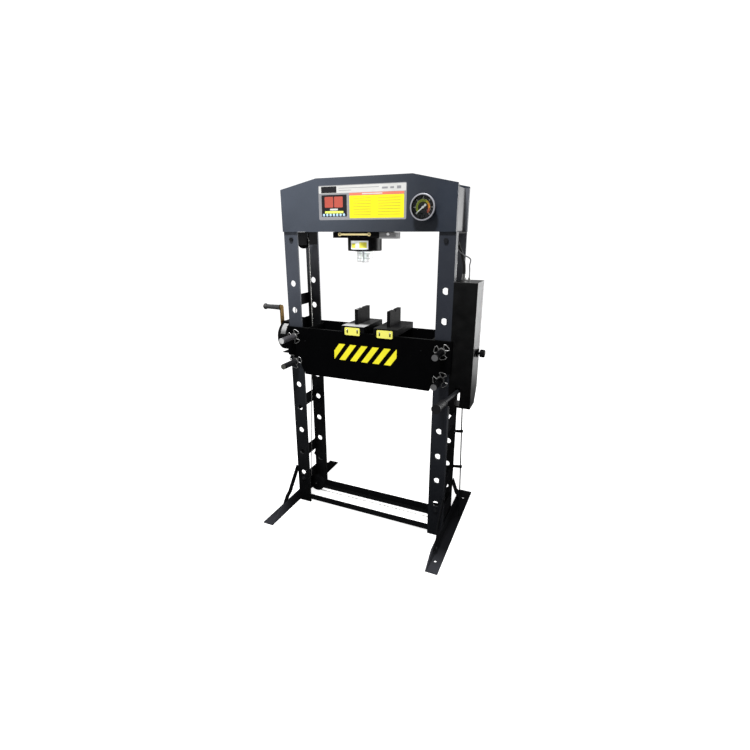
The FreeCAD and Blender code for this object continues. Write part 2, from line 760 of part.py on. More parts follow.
def winch_frame():
    """The winch's base plate on the uprights, and a channel with a flange above and below the drum."""
    y0 = -62.0
    y1 = 88.0
    web_x0 = WINCH_WEB_X - WINCH_WEB
    base = box(WINCH_WEB_X, -UPRIGHT_OUTER_X, -105, 105, 905, 1112)
    web = box(web_x0, WINCH_WEB_X, y0, y1, 922, 1105)
    top = box(-518, web_x0, y0, y1, 1101, 1105).cut(rope_slot(1100, 1106))
    low = box(COVER_FACE_X, web_x0, y0, y1, 922, 926)
    frame = base.fuse(web).fuse(top).fuse(low)
    frame = frame.cut(rod(AXLE_R + RUNNING_GAP, V(-460, DRUM_Y, DRUM_Z), V(-450, DRUM_Y, DRUM_Z)))
    return frame.cut(rod(STUB_R + RUNNING_GAP, V(-460, CRANK_Y, CRANK_Z), V(-450, CRANK_Y, CRANK_Z)))


def winch_cover():
    """The round sheet cover over the drum and its gears. Its face carries the outer bearings."""
    inner_r = COVER_R - COVER_SHEET
    open_x = WINCH_WEB_X - WINCH_WEB
    inside_x = COVER_FACE_X + COVER_SHEET
    bend = 5.0
    cover = revolve_x(
        [(COVER_FACE_X, 0), (COVER_FACE_X, COVER_R - bend), (COVER_FACE_X + bend, COVER_R), (open_x, COVER_R),
         (open_x, inner_r), (inside_x + bend, inner_r), (inside_x, inner_r - bend), (inside_x, 0)],
        DRUM_Y, DRUM_Z)
    for y, z in ((DRUM_Y, DRUM_Z), (CRANK_Y, CRANK_Z)):
        cover = cover.cut(rod(AXLE_R + RUNNING_GAP, V(COVER_FACE_X - 1, y, z), V(inside_x + 1, y, z)))
    return cover.cut(rope_slot(DRUM_Z, 1110))


def crank():
    """Pinion with its shaft, the flat crank arm with its grip pin, and the loose grip."""
    pinion = gear(PINION_TEETH, -473.5, -463.5, STUB_R, CRANK_ANGLE + math.pi + math.pi / PINION_TEETH)
    pinion.translate(V(0, CRANK_Y, CRANK_Z))
    shaft = rod(AXLE_R, V(-545, CRANK_Y, CRANK_Z), V(-474, CRANK_Y, CRANK_Z))
    shaft = shaft.fuse(rod(STUB_R, V(-474, CRANK_Y, CRANK_Z), V(-455, CRANK_Y, CRANK_Z)))
    save("crank_pinion", pinion.fuse(shaft))
    outer = -544.0
    inner = -538.0
    half = 15.0
    arm = box(outer, inner, CRANK_Y - half, CRANK_Y + half, CRANK_Z, GRIP_Z)
    for z in (CRANK_Z, GRIP_Z):
        arm = arm.fuse(rod(half, V(outer, CRANK_Y, z), V(inner, CRANK_Y, z)))
    arm = arm.cut(rod(AXLE_R, V(outer - 1, CRANK_Y, CRANK_Z), V(inner + 1, CRANK_Y, CRANK_Z)))
    pin = rod(STUB_R, V(-658, CRANK_Y, GRIP_Z), V(outer, CRANK_Y, GRIP_Z))
    pin = pin.fuse(rod(9.0, V(-661, CRANK_Y, GRIP_Z), V(-655, CRANK_Y, GRIP_Z)))
    save("crank_arm", arm.fuse(pin))
    bore = STUB_R + RUNNING_GAP
    grip = revolve_x(
        [(-654, bore), (-654, 16), (-651, 17), (-646, 17), (-640, 13), (-620, 12.5), (-575, 13.5), (-556, 14),
         (-552, 16), (-549, 16), (-549, bore)],
        CRANK_Y, GRIP_Z)
    save("crank_grip", grip)


def winch():
    """Winch on the left side: frame, cover, drum with its gear, and the crank."""
    save("winch_frame", winch_frame())
    save("winch_cover", winch_cover())
    drum = revolve_x(
        [(-526, 0), (-526, DRUM_FLANGE_R), (-523, DRUM_FLANGE_R), (-523, DRUM_CORE_R), (-476, DRUM_CORE_R),
         (-476, DRUM_FLANGE_R), (-473, DRUM_FLANGE_R), (-473, 0)],
        DRUM_Y, DRUM_Z)
    save("winch_drum", drum.fuse(rod(AXLE_R, V(-534.5, DRUM_Y, DRUM_Z), V(-455, DRUM_Y, DRUM_Z))))
    wheel = gear(WHEEL_TEETH, -472.5, -464.5, AXLE_R, CRANK_ANGLE)
    wheel.translate(V(0, DRUM_Y, DRUM_Z))
    save("drum_gear", wheel)
    crank()


# Ropes

def winding(name):
    """The rope's turns on the drum as one unbroken tube, built from half-turn arcs."""
    pitch = 2 * ROPE_R + 0.55
    quarter_turns = 18
    x = -522.5 + ROPE_R + 0.6
    edges = []
    points = []
    for k in range(quarter_turns + 1):
        angle = k * math.pi / 2
        points.append(V(x + pitch * angle / (2 * math.pi), -DRUM_ROPE_R * math.cos(angle),
                        DRUM_ROPE_R * math.sin(angle)))
    for k in range(0, len(points) - 2, 2):
        edges.append(Part.Arc(points[k], points[k + 1], points[k + 2]).toShape())
    path = Part.Wire(edges)
    path.translate(V(0, DRUM_Y, DRUM_Z))
    print(name, "pitch", pitch, "least gap", round(pitch - 2 * ROPE_R, 2))
    return tube(path, ROPE_R, name)


def ferrule(x, z):
    """The stop sleeve pressed on a rope's end against the bed's shelf."""
    return rod(6.0, V(x, 0, z), V(x, 0, z + 14))


def tangent_corner(point, centre_x, centre_z, reach, level, side):
    """Where the tangent from a point to a pulley's outer side meets the level line past the pulley."""
    dx = point.x - centre_x
    dz = point.z - centre_z
    lean = side * math.acos(reach / math.hypot(dx, dz))
    angle = math.atan2(dz, dx) - lean
    touch_x = centre_x + reach * math.cos(angle)
    touch_z = centre_z + reach * math.sin(angle)
    share = (level - point.z) / (touch_z - point.z)
    return V(point.x + (touch_x - point.x) * share, 0, level)


def ropes():
    """The lifting rope from the winch and the levelling rope that joins the bed's two ends."""
    reach = TOP_PULLEY_R
    peak = TOP_PULLEY_Z + reach
    start = V(-488, DRUM_Y + DRUM_ROPE_R, DRUM_Z)
    corner = tangent_corner(start, -TOP_PULLEY_X, TOP_PULLEY_Z, reach, peak, RIGHT)
    lift_points = [start, corner, V(-UPPER_RUN_X, 0, peak), V(-UPPER_RUN_X, 0, 1052)]
    lift = tube(rounded_path(lift_points, [reach, reach]), ROPE_R, "lift_rope")
    save("lift_rope", lift.fuse(ferrule(-UPPER_RUN_X, 1046)))
    low = LOW_PULLEY_R
    floor_z = LOW_PULLEY_Z - low
    anchor = V(-LOW_ANCHOR_X, 0, 874)
    level_points = [
        anchor, tangent_corner(anchor, -LOW_PULLEY_X, LOW_PULLEY_Z, low, floor_z, LEFT),
        V(LOW_PULLEY_X + low, 0, floor_z), V(TOP_PULLEY_X + reach, 0, peak),
        V(UPPER_RUN_X, 0, peak), V(UPPER_RUN_X, 0, 1052),
    ]
    level = tube(rounded_path(level_points, [low, low, reach, reach]), ROPE_R, "levelling_rope")
    save("levelling_rope", level.fuse(ferrule(UPPER_RUN_X, 1046)).fuse(ferrule(-LOW_ANCHOR_X, 868)))


# Pump

def pump_cover():
    """Folded sheet box, open towards the uprights, with its rear lower corner cut off and a lever slot."""
    outline = [(BOX_Y0, BOX_Z0), (-8, BOX_Z0), (BOX_Y1, 838), (BOX_Y1, BOX_Z1), (BOX_Y0, BOX_Z1)]
    t = BOX_SHEET
    inner = [(BOX_Y0 + t, BOX_Z0 + t), (-8, BOX_Z0 + t), (-8, BOX_Z0 - 5), (BOX_Y1 + 5, BOX_Z0 - 5),
             (BOX_Y1 + 5, 838), (BOX_Y1 - t, 838), (BOX_Y1 - t, BOX_Z1 - t), (BOX_Y0 + t, BOX_Z1 - t)]
    shell = plate_yz(outline, BOX_X0, BOX_X1).cut(plate_yz(inner, BOX_X0 - 1, BOX_X1 - t))
    slot = box(LEVER_X - 12, LEVER_X + 12, BOX_Y0 - 1, BOX_Y0 + t + 1, 772, 862)
    knob_hole = rod(9.0, V(BOX_X1 - t - 1, PUMP_KNOB_Y, PUMP_KNOB_Z), V(BOX_X1 + 1, PUMP_KNOB_Y, PUMP_KNOB_Z))
    return shell.cut(slot).cut(knob_hole)


PLUNGER_Y = -60.0
PLUNGER_R = 8.0
PLUNGER_NOSE_Z = 859.0
LEVER_TILT = 7.5
LEVER_LENGTH = 450.0


def lever():
    """Pump lever: an eye on its pivot, the bar through the slot and the rubber grip."""
    pivot = V(LEVER_X, LEVER_PIVOT_Y, LEVER_Z)
    tilt = math.radians(LEVER_TILT)
    along = V(0, -math.cos(tilt), math.sin(tilt))
    bar = rod(10.0, pivot - along * 4, pivot + along * (LEVER_LENGTH - 4))
    eye = rod(13.0, pivot - V(10, 0, 0), pivot + V(10, 0, 0))
    bar = bar.fuse(eye).cut(rod(5.05, pivot - V(12, 0, 0), pivot + V(12, 0, 0)))
    grip_start = LEVER_LENGTH - 112
    grip = rod(17.0, pivot + along * grip_start, pivot + along * (LEVER_LENGTH - 6))
    grip = grip.fuse(rod(20.0, pivot + along * (LEVER_LENGTH - 8), pivot + along * LEVER_LENGTH))
    grip = grip.fuse(rod(19.0, pivot + along * grip_start, pivot + along * (grip_start + 7)))
    for k in range(5):
        at = grip_start + 18 + 16 * k
        groove = ring(18.0, 15.6, pivot + along * at, pivot + along * (at + 4))
        grip = grip.cut(groove)
    grip = grip.cut(rod(10.0, pivot, pivot + along * (LEVER_LENGTH - 4)))
    save("pump_lever", bar)
    save("lever_grip", grip)


def release_knob():
    """Valve stem with a four-lobed lock nut and a fluted knob."""
    shape = rod(6.0, V(516, PUMP_KNOB_Y, PUMP_KNOB_Z), V(574, PUMP_KNOB_Y, PUMP_KNOB_Z))
    nut_x0 = BOX_X1 + 2
    nut_x1 = nut_x0 + 8
    shape = shape.fuse(rod(13.0, V(nut_x0, PUMP_KNOB_Y, PUMP_KNOB_Z), V(nut_x1, PUMP_KNOB_Y, PUMP_KNOB_Z)))
    for k in range(4):
        angle = math.pi / 4 + k * math.pi / 2
        y = PUMP_KNOB_Y + 16 * math.cos(angle)
        z = PUMP_KNOB_Z + 16 * math.sin(angle)
        shape = shape.fuse(rod(7.0, V(nut_x0, y, z), V(nut_x1, y, z)))
    knob = revolve_x(
        [(573, 0), (573, 14), (576, 18.5), (594, 18.5), (597, 15.5), (597, 0)],
        PUMP_KNOB_Y, PUMP_KNOB_Z)
    flutes = 12
    for k in range(flutes):
        angle = 2 * math.pi * k / flutes
        y = PUMP_KNOB_Y + 20 * math.cos(angle)
        z = PUMP_KNOB_Z + 20 * math.sin(angle)
        knob = knob.cut(rod(3.0, V(572, y, z), V(598, y, z)))
    return shape.fuse(knob)


def pump():
    """Pump block with its bracket, release valve with its knob, and the plunger."""
    save("pump_cover", pump_cover())
    body = box(470, 530, -72, 10, 900, 1090)
    for x0, x1 in ((470, 482), (504, 530)):
        body = body.fuse(box(x0, x1, -56, -16, 816, 900))
    body = body.cut(rod(8.05, V(LEVER_X, PLUNGER_Y, 890), V(LEVER_X, PLUNGER_Y, 960)))
    body = body.cut(rod(5.0, V(469, LEVER_PIVOT_Y, LEVER_Z), V(531, LEVER_PIVOT_Y, LEVER_Z)))
    body = body.cut(rod(6.05, V(515, PUMP_KNOB_Y, PUMP_KNOB_Z), V(531, PUMP_KNOB_Y, PUMP_KNOB_Z)))
    body = body.fuse(box(UPRIGHT_OUTER_X, 470, -104, -66, 1000, 1060).cut(box(454, 471, -105, -72, 990, 1070)))
    save("pump_body", body)
    plunger = rod(PLUNGER_R, V(LEVER_X, PLUNGER_Y, PLUNGER_NOSE_Z), V(LEVER_X, PLUNGER_Y, 942))
    plunger = plunger.fuse(Part.makeSphere(PLUNGER_R, V(LEVER_X, PLUNGER_Y, PLUNGER_NOSE_Z)))
    save("pump_plunger", plunger)
    save("release_knob", release_knob())
    lever()


HOSE_R = 7.5
HOSE_X = 466.0
HOSE_Y = 10.0
HOSE_FITTING = 28.0
LINE_R = 3.0
LINE_X = 498.0
LINE_Y = -20.0
LINE_FITTING = 14.0


def fitting(radius, length, start, along):
    """A crimped end with a hexagon nut."""
    nut = hex_head(2.4 * radius, length * 0.4, start, along)
    return nut.fuse(rod(radius * 1.15, start, start + along * length))


def hoses():
    """The pressure hose and the thin gauge line, from the pump box up into the header."""
    up = V(0, 0, 1)
    hose_points = [
        V(HOSE_X, HOSE_Y, BOX_Z1 + HOSE_FITTING), V(HOSE_X, HOSE_Y, 1428), V(450, 22, 1474), V(424, 40, 1518),
        V(HOSE_WEB_X, HOSE_SIDE_Y, 1566), V(404, 42, 1618), V(402, 4, 1662), V(396, -44, 1676),
        V(378, -76, GAUGE_Z), V(350, -92, GAUGE_Z), V(GAUGE_X + 16, -92, GAUGE_Z),
    ]
    save("pressure_hose", bent_tube(hose_points, HOSE_R, "pressure_hose"))
    line_points = [
        V(LINE_X, LINE_Y, BOX_Z1 + LINE_FITTING), V(LINE_X, LINE_Y, 1410), V(495, -20, 1434),
        V(502, -20, 1456), V(488, -21, 1468), V(458, -24, 1480), V(430, -34, 1512),
        V(HOSE_WEB_X, -HOSE_SIDE_Y, 1560), V(400, -60, 1610), V(372, -84, 1650), V(336, -92, 1668),
        V(GAUGE_X + 16, -92, GAUGE_Z - 11),
    ]
    save("gauge_line", bent_tube(line_points, LINE_R, "gauge_line"))
    hose_end = fitting(HOSE_R, HOSE_FITTING, V(HOSE_X, HOSE_Y, BOX_Z1), up)
    line_end = fitting(5.0, LINE_FITTING, V(LINE_X, LINE_Y, BOX_Z1), up)
    save("hose_fittings", Part.makeCompound([hose_end, line_end]))


ROD_Y = 113.0
ROD_R = 3.5
ROD_TOP = V(472, ROD_Y, 775)
ROD_LOW = V(495.5, ROD_Y, FOOT_THICK + 0.15)


def side_rod():
    """Thin rod behind the pump box down to the foot, held by two flat arms on the rear upright."""
    shape = rod(ROD_R, ROD_LOW, ROD_TOP)
    for z in (535.0, 320.0):
        share = (z - ROD_LOW.z) / (ROD_TOP.z - ROD_LOW.z)
        x = ROD_LOW.x + (ROD_TOP.x - ROD_LOW.x) * share
        outline = [V(UPRIGHT_OUTER_X, 97, z), V(x + 8, ROD_Y - 7, z), V(x + 8, ROD_Y + 7, z),
                   V(UPRIGHT_OUTER_X, 106, z)]
        shape = shape.fuse(profile(outline, V(0, 0, 12)))
    save("side_rod", shape)


def build():
    """Make every piece."""
    header()
    uprights()
    side_ties()
    pulleys()
    bottom_bars()
    feet()
    save("frame_bolts", Part.makeCompound(frame_bolts()))
    bed()
    pins()
    press_blocks()
    carriage_set()
    gauge()
    winch()
    save("rope_winding", winding("rope_winding"))
    ropes()
    pump()
    hoses()
    side_rod()


build()
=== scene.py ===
# %% [markdown]
# # A hydraulic shop press, dressed for a studio picture
# The press comes ready made as solids: plates, pins, ram, winch and pump. This lesson puts a camera and
# lights round it, lays its hose and ropes, adds the printed fields and small screws, and gives every
# surface a finish. The solids are loaded first, because all that follows is measured from them.

# %% Load the press
import math

import bmesh
import bpy
from mathutils import Matrix, Vector


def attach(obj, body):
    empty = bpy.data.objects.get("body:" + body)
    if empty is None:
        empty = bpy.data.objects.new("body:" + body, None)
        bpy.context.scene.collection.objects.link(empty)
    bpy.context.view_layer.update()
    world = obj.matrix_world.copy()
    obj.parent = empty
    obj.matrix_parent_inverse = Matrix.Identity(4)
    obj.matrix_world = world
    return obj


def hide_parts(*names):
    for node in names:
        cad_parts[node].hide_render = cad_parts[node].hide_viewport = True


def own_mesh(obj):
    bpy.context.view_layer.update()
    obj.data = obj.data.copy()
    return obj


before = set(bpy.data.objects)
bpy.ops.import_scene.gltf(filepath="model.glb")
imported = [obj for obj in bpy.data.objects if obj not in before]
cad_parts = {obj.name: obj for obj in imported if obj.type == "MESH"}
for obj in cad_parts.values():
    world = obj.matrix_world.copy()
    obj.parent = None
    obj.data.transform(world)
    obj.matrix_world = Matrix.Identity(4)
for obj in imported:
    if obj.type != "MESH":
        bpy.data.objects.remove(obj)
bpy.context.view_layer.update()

# %% [markdown]
# ## Camera
# The photograph looks a little down on the press from its right. A camera can be aimed with a constraint
# or with angles. Angles are used here, since they were solved from the corners of the header and the pin
# holes: first the turn about the vertical, then the tilt down, then a hair of roll.

# %% Camera
def put_in_scene(name, data):
    """A new object at the origin."""
    made = bpy.data.objects.new(name, data)
    bpy.context.scene.collection.objects.link(made)
    return made


PHOTO_WIDTH = 750
FOCAL_PIXELS = 445.128
SENSOR_MM = 36.0
CAMERA_PLACE = (0.937794, -2.109124, 1.579170)
TURN, TILT, ROLL = 0.413, 0.3118, -0.0013
camera_data = bpy.data.cameras.new("photo_camera")
camera_data.sensor_width = SENSOR_MM
camera_data.lens = FOCAL_PIXELS * SENSOR_MM / PHOTO_WIDTH
camera = put_in_scene("photo_camera", camera_data)
camera.matrix_world = (
    Matrix.Translation(CAMERA_PLACE)
    @ Matrix.Rotation(TURN, 4, "Z")
    @ Matrix.Rotation(math.pi / 2 - TILT, 4, "X")
    @ Matrix.Rotation(ROLL, 4, "Z")
)
bpy.context.scene.camera = camera
print("lens", round(camera_data.lens, 2), "mm")

# %% [markdown]
# ## Helpers for finishes
# A finish is a small node tree. Every pattern reads Object coordinates, in metres, so that its grain has a
# real size and stays on the piece when it moves. The helpers below each add one node and return its
# output, which keeps the recipes short enough to read.

# %% Node helpers
def new_finish(name):
    """An empty finish: its tree, its shader and the coordinates that its patterns read."""
    material = bpy.data.materials.new(name)
    material.use_nodes = True
    tree = material.node_tree
    tree.nodes.clear()
    shader = tree.nodes.new("ShaderNodeBsdfPrincipled")
    output = tree.nodes.new("ShaderNodeOutputMaterial")
    tree.links.new(shader.outputs["BSDF"], output.inputs["Surface"])
    place = tree.nodes.new("ShaderNodeTexCoord").outputs["Object"]
    return material, tree, shader, place


def feed(tree, value, socket):
    """A socket takes either a plain value or another node's output."""
    if isinstance(value, bpy.types.NodeSocket):
        tree.links.new(value, socket)
    else:
        socket.default_value = value


def noise(tree, place, scale, detail=3.0, stretch=None):
    """Cloudy noise from 0 to 1. Stretch scales each axis, for brushed grain."""
    if stretch:
        mapping = tree.nodes.new("ShaderNodeMapping")
        mapping.inputs["Scale"].default_value = stretch
        tree.links.new(place, mapping.inputs["Vector"])
        place = mapping.outputs["Vector"]
    node = tree.nodes.new("ShaderNodeTexNoise")
    node.inputs["Scale"].default_value = scale
    node.inputs["Detail"].default_value = detail
    tree.links.new(place, node.inputs["Vector"])
    return node.outputs["Fac"]


def remap(tree, value, low, high, to_low, to_high):
    """A clamped change of range."""
    node = tree.nodes.new("ShaderNodeMapRange")
    feed(tree, value, node.inputs["Value"])
    numbers = {"From Min": low, "From Max": high, "To Min": to_low, "To Max": to_high}
    for socket, number in numbers.items():
        node.inputs[socket].default_value = number
    return node.outputs["Result"]


def blend_colours(tree, share, first, second):
    """The first colour where share is 0, the second where it is 1."""
    node = tree.nodes.new("ShaderNodeMix")
    node.data_type = "RGBA"
    feed(tree, share, node.inputs["Factor"])
    for value, socket in ((first, node.inputs["A"]), (second, node.inputs["B"])):
        feed(tree, value if isinstance(value, bpy.types.NodeSocket) else (*value, 1.0), socket)
    return node.outputs["Result"]


def multiply_colours(tree, share, colour, tint):
    """A colour times a tint, as far as share says."""
    node = tree.nodes.new("ShaderNodeMix")
    node.data_type = "RGBA"
    node.blend_type = "MULTIPLY"
    feed(tree, share, node.inputs["Factor"])
    feed(tree, colour, node.inputs["A"])
    feed(tree, (*tint, 1.0), node.inputs["B"])
    return node.outputs["Result"]


def maths(tree, operation, first, second=0.0):
    """One sum on two values."""
    node = tree.nodes.new("ShaderNodeMath")
    node.operation = operation
    feed(tree, first, node.inputs[0])
    feed(tree, second, node.inputs[1])
    return node.outputs["Value"]


def axis_value(tree, vector, axis):
    """One coordinate of a vector."""
    node = tree.nodes.new("ShaderNodeSeparateXYZ")
    tree.links.new(vector, node.inputs["Vector"])
    return node.outputs[axis]


def facing_up(tree, low=0.5, high=0.9):
    """1 on surfaces that look up, 0 on walls."""
    normal = tree.nodes.new("ShaderNodeNewGeometry").outputs["Normal"]
    return remap(tree, axis_value(tree, normal, "Z"), low, high, 0.0, 1.0)


def relief(tree, shader, height, depth):
    """Fine height on the surface, in metres."""
    node = tree.nodes.new("ShaderNodeBump")
    node.inputs["Strength"].default_value = 1.0
    node.inputs["Distance"].default_value = depth
    tree.links.new(height, node.inputs["Height"])
    tree.links.new(node.outputs["Normal"], shader.inputs["Normal"])


def scaled(colour, share):
    """A colour made lighter or darker."""
    return tuple(min(1.0, part * share) for part in colour)


print("node helpers ready")

# %% [markdown]
# ## Powder coat
# The frame is sprayed and baked. Such paint is smooth, with a fine orange peel, a slow change of tone over
# the big plates and a little dust where it looks up. A tiled picture would repeat itself, so noise makes all
# of it, and one function takes the colour, the gloss and the fades of painted shade, which lets the many
# paints work alike.

# %% Powder coat
DUST_COLOUR = (0.42, 0.40, 0.37)


def powder_coat(name, colour, rough, level, peel=0.00006, dust=0.0, shade_fades=()):
    """Sprayed and baked paint. Each fade is (axis, low, high, share or tint): painted shade along one axis."""
    material, tree, shader, place = new_finish(name)
    clouds = remap(tree, noise(tree, place, 4.0, 5.0), 0.35, 0.65, 0.0, 1.0)
    tone = blend_colours(tree, clouds, scaled(colour, 0.90), scaled(colour, 1.10))
    # Painted shade: each fade multiplies the tone by its share, more and more from low to high along its axis.
    for axis, low, high, share in shade_fades:
        along = remap(tree, axis_value(tree, place, axis), low, high, 0.0, 1.0)
        tint = share if isinstance(share, tuple) else (share, share, share)
        tone = multiply_colours(tree, along, tone, tint)
    if dust:
        specks = remap(tree, noise(tree, place, 260.0, 6.0), 0.45, 0.75, 0.0, dust)
        settled = maths(tree, "MULTIPLY", specks, facing_up(tree))
        tone = blend_colours(tree, settled, tone, DUST_COLOUR)
    tree.links.new(tone, shader.inputs["Base Color"])
    patches = remap(tree, noise(tree, place, 22.0, 4.0), 0.3, 0.7, rough - 0.05, rough + 0.06)
    tree.links.new(patches, shader.inputs["Roughness"])
    shader.inputs["Specular IOR Level"].default_value = level
    relief(tree, shader, noise(tree, place, 620.0, 2.0), peel)
    return material


print("powder coat ready")

# %% [markdown]
# ### The paint shop
# Header and uprights are slate blue, and the bed, the pump box and the small plates are black. The photograph
# shows the slate darker towards the floor and towards the right. Lamps alone can't do that on a flat plate,
# so each slate paint carries painted shade as fades along its height or width, and the uprights get lit and
# shaded copies of the slate. Black paints have little gloss, because the black plates show no pale
# reflections.

# %% Slate, black and grey paints
# The header's painted shade: darker towards the bottom and the right, and darker and bluer right of the gauge.
slate_header_painted_shade = powder_coat("slate_header_painted_shade", (0.050, 0.059, 0.077), 0.42, 0.4, dust=0.10,
                           shade_fades=[("X", -0.20, 0.30, 0.37), ("Z", 1.72, 1.60, 0.82),
                                  ("X", 0.16, 0.36, (0.64, 0.76, 0.94))])
# Lit and shaded copies of the slate for the uprights, with painted shade: the rear ones far darker below the
# header, the right one darkest, and all of them darker towards the floor.
slate_left_painted_shade = powder_coat("slate_left_painted_shade", (0.045, 0.051, 0.065), 0.45, 0.30,
                         shade_fades=[("Z", 1.30, 0.82, 0.19), ("Z", 0.80, 0.10, 0.12)])
slate_rear_painted_shade = powder_coat("slate_rear_painted_shade", (0.075, 0.079, 0.092), 0.45, 0.25,
                         shade_fades=[("Z", 1.46, 1.20, 0.055), ("Z", 0.80, 0.10, 0.8)])
slate_right_painted_shade = powder_coat("slate_right_painted_shade", (0.0155, 0.0180, 0.0250), 0.45, 0.25,
                          shade_fades=[("Z", 1.20, 0.75, 0.60), ("Z", 0.70, 0.10, 0.40)])
black_bed = powder_coat("black_bed", (0.0008, 0.0008, 0.0010), 0.42, 0.05)
black_frame = powder_coat("black_frame", (0.0036, 0.0037, 0.0042), 0.42, 0.02, dust=0.008)
black_gloss = powder_coat("black_gloss", (0.0030, 0.0030, 0.0032), 0.30, 0.06)
# Painted shade on the feet: darker behind their front tips, and darker again towards the rear.
slate_foot_painted_shade = powder_coat("slate_foot_painted_shade", (0.030, 0.031, 0.036), 0.45, 0.015,
                         shade_fades=[("Y", -0.345, -0.20, 0.18), ("Y", -0.10, 0.10, 0.4)])
black_box = powder_coat("black_box", (0.0006, 0.0006, 0.0007), 0.33, 0.45, peel=0.00004)
grey_end = powder_coat("grey_end", (0.13, 0.13, 0.134), 0.45, 0.25)
grey_block = powder_coat("grey_block", (0.18, 0.18, 0.185), 0.5, 0.3)
tag_yellow = powder_coat("tag_yellow", (0.64, 0.62, 0.11), 0.35, 0.3)
print("paints mixed:", len(bpy.data.materials))

# %% [markdown]
# ### Press blocks
# A press block is a dark forged bar, and work wears its seat bright. Wear could be painted on by hand. Here
# it grows from position, on faces that look up, towards the front, so that it follows the shape. The bright
# seat is wear and painted light together, and the two blocks get a lit copy and a copy with painted shade.

# %% Press block finish
def press_block_finish(name, bare_and_painted_light_tone):
    """A dark forged block whose up-facing seat turns to one tone towards the front: wear and painted light."""
    material, tree, shader, place = new_finish(name)
    clouds = remap(tree, noise(tree, place, 30.0, 5.0), 0.35, 0.65, 0.0, 1.0)
    dark = blend_colours(tree, clouds, (0.0030, 0.0030, 0.0035), (0.0060, 0.0060, 0.0065))
    worn_and_lit = remap(tree, axis_value(tree, place, "Y"), -0.040, -0.080, 0.05, 1.0)
    seat = maths(tree, "MULTIPLY", facing_up(tree), worn_and_lit)
    patchy = maths(tree, "MULTIPLY", seat, remap(tree, clouds, 0.0, 1.0, 0.8, 1.0))
    tone = blend_colours(tree, patchy, dark, (bare_and_painted_light_tone, bare_and_painted_light_tone, bare_and_painted_light_tone))
    tree.links.new(tone, shader.inputs["Base Color"])
    tree.links.new(remap(tree, clouds, 0.0, 1.0, 0.36, 0.46), shader.inputs["Roughness"])
    shader.inputs["Specular IOR Level"].default_value = 0.03
    relief(tree, shader, noise(tree, place, 300.0, 3.0), 0.00008)
    return material


# The left block's finish is the lit copy, its seat worn and painted light; the right block's is painted shade.
press_block_worn_and_lit = press_block_finish("press_block_worn_and_lit", 0.45)
press_block_painted_shade = press_block_finish("press_block_painted_shade", 0.015)
print("press block finishes ready")

# %% [markdown]
# ### The ram
# The ram is turned bright steel with fine grooves. They are narrower than a pixel, so dark lines of painted
# shade in the finish stand for them, and a soft dark streak is a painted reflection of the dark studio that a
# round bright bar mirrors. The steel is almost matt and near-white, a painted sheen in place of a mirror.

# %% Ram finish
STREAK_X = -0.0335
GROOVE_HEIGHTS = (1.4745, 1.4525)


def ram_finish():
    """Near-white steel as painted sheen, with painted shade in its grooves and a dark painted reflection."""
    material, tree, shader, place = new_finish("ram_bright")
    lines = noise(tree, place, 900.0, 3.0, (0.2, 0.2, 6.0))
    # A near-white, almost matt tone: painted sheen in place of a mirror's bright reflection.
    tone = blend_colours(tree, lines, (0.88, 0.88, 0.89), (0.97, 0.97, 0.97))
    # Painted reflection: a soft dark streak down the front of the ram.
    off_streak = maths(tree, "ABSOLUTE", maths(tree, "SUBTRACT", axis_value(tree, place, "X"), STREAK_X))
    streak = remap(tree, off_streak, 0.0035, 0.008, 0.85, 0.0)
    front = maths(tree, "LESS_THAN", axis_value(tree, place, "Y"), 0.0)
    tone = blend_colours(tree, maths(tree, "MULTIPLY", streak, front), tone, (0.05, 0.05, 0.052))
    # Painted shade in the ring grooves.
    for height in GROOVE_HEIGHTS:
        off_ring = maths(tree, "ABSOLUTE", maths(tree, "SUBTRACT", axis_value(tree, place, "Z"), height))
        groove = remap(tree, off_ring, 0.0012, 0.0035, 0.6, 0.0)
        tone = blend_colours(tree, groove, tone, (0.12, 0.12, 0.125))
    tree.links.new(tone, shader.inputs["Base Color"])
    tree.links.new(remap(tree, lines, 0.3, 0.7, 0.16, 0.32), shader.inputs["Roughness"])
    shader.inputs["Metallic"].default_value = 0.05
    relief(tree, shader, lines, 0.000008)
    return material


ram_bright = ram_finish()
print("ram finish ready")

# %% [markdown]
# ## Steel, rubber and glass
# Drawn and plated steel has grain, rubber is matt with small pits, and the gauge's glass is clear with a few
# smears. The grain is noise that is stretched along one axis. It could be a bump alone, but it also changes
# the roughness a little, as real grain does.


# %% Steel and rubber
def steel(name, colour, rough, metal=1.0, grain=(1.0, 1.0, 1.0), level=0.5):
    """Bare or plated steel. Grain stretches its fine lines."""
    material, tree, shader, place = new_finish(name)
    lines = noise(tree, place, 900.0, 3.0, grain)
    clouds = remap(tree, noise(tree, place, 14.0, 5.0), 0.3, 0.7, 0.0, 1.0)
    tone = blend_colours(tree, clouds, scaled(colour, 0.82), scaled(colour, 1.15))
    tree.links.new(tone, shader.inputs["Base Color"])
    tree.links.new(remap(tree, lines, 0.3, 0.7, rough - 0.07, rough + 0.10), shader.inputs["Roughness"])
    shader.inputs["Metallic"].default_value = metal
    shader.inputs["Specular IOR Level"].default_value = level
    relief(tree, shader, lines, 0.00003)
    return material


def rubber(name, colour, rough=0.6, pits=0.0001, level=0.3):
    """Moulded rubber with small pits."""
    material, tree, shader, place = new_finish(name)
    mottling = noise(tree, place, 90.0, 4.0)
    tone = blend_colours(tree, mottling, scaled(colour, 0.75), scaled(colour, 1.3))
    tree.links.new(tone, shader.inputs["Base Color"])
    tree.links.new(remap(tree, mottling, 0.3, 0.7, rough - 0.08, rough + 0.08), shader.inputs["Roughness"])
    shader.inputs["Specular IOR Level"].default_value = level
    relief(tree, shader, noise(tree, place, 1400.0, 2.0), pits)
    return material


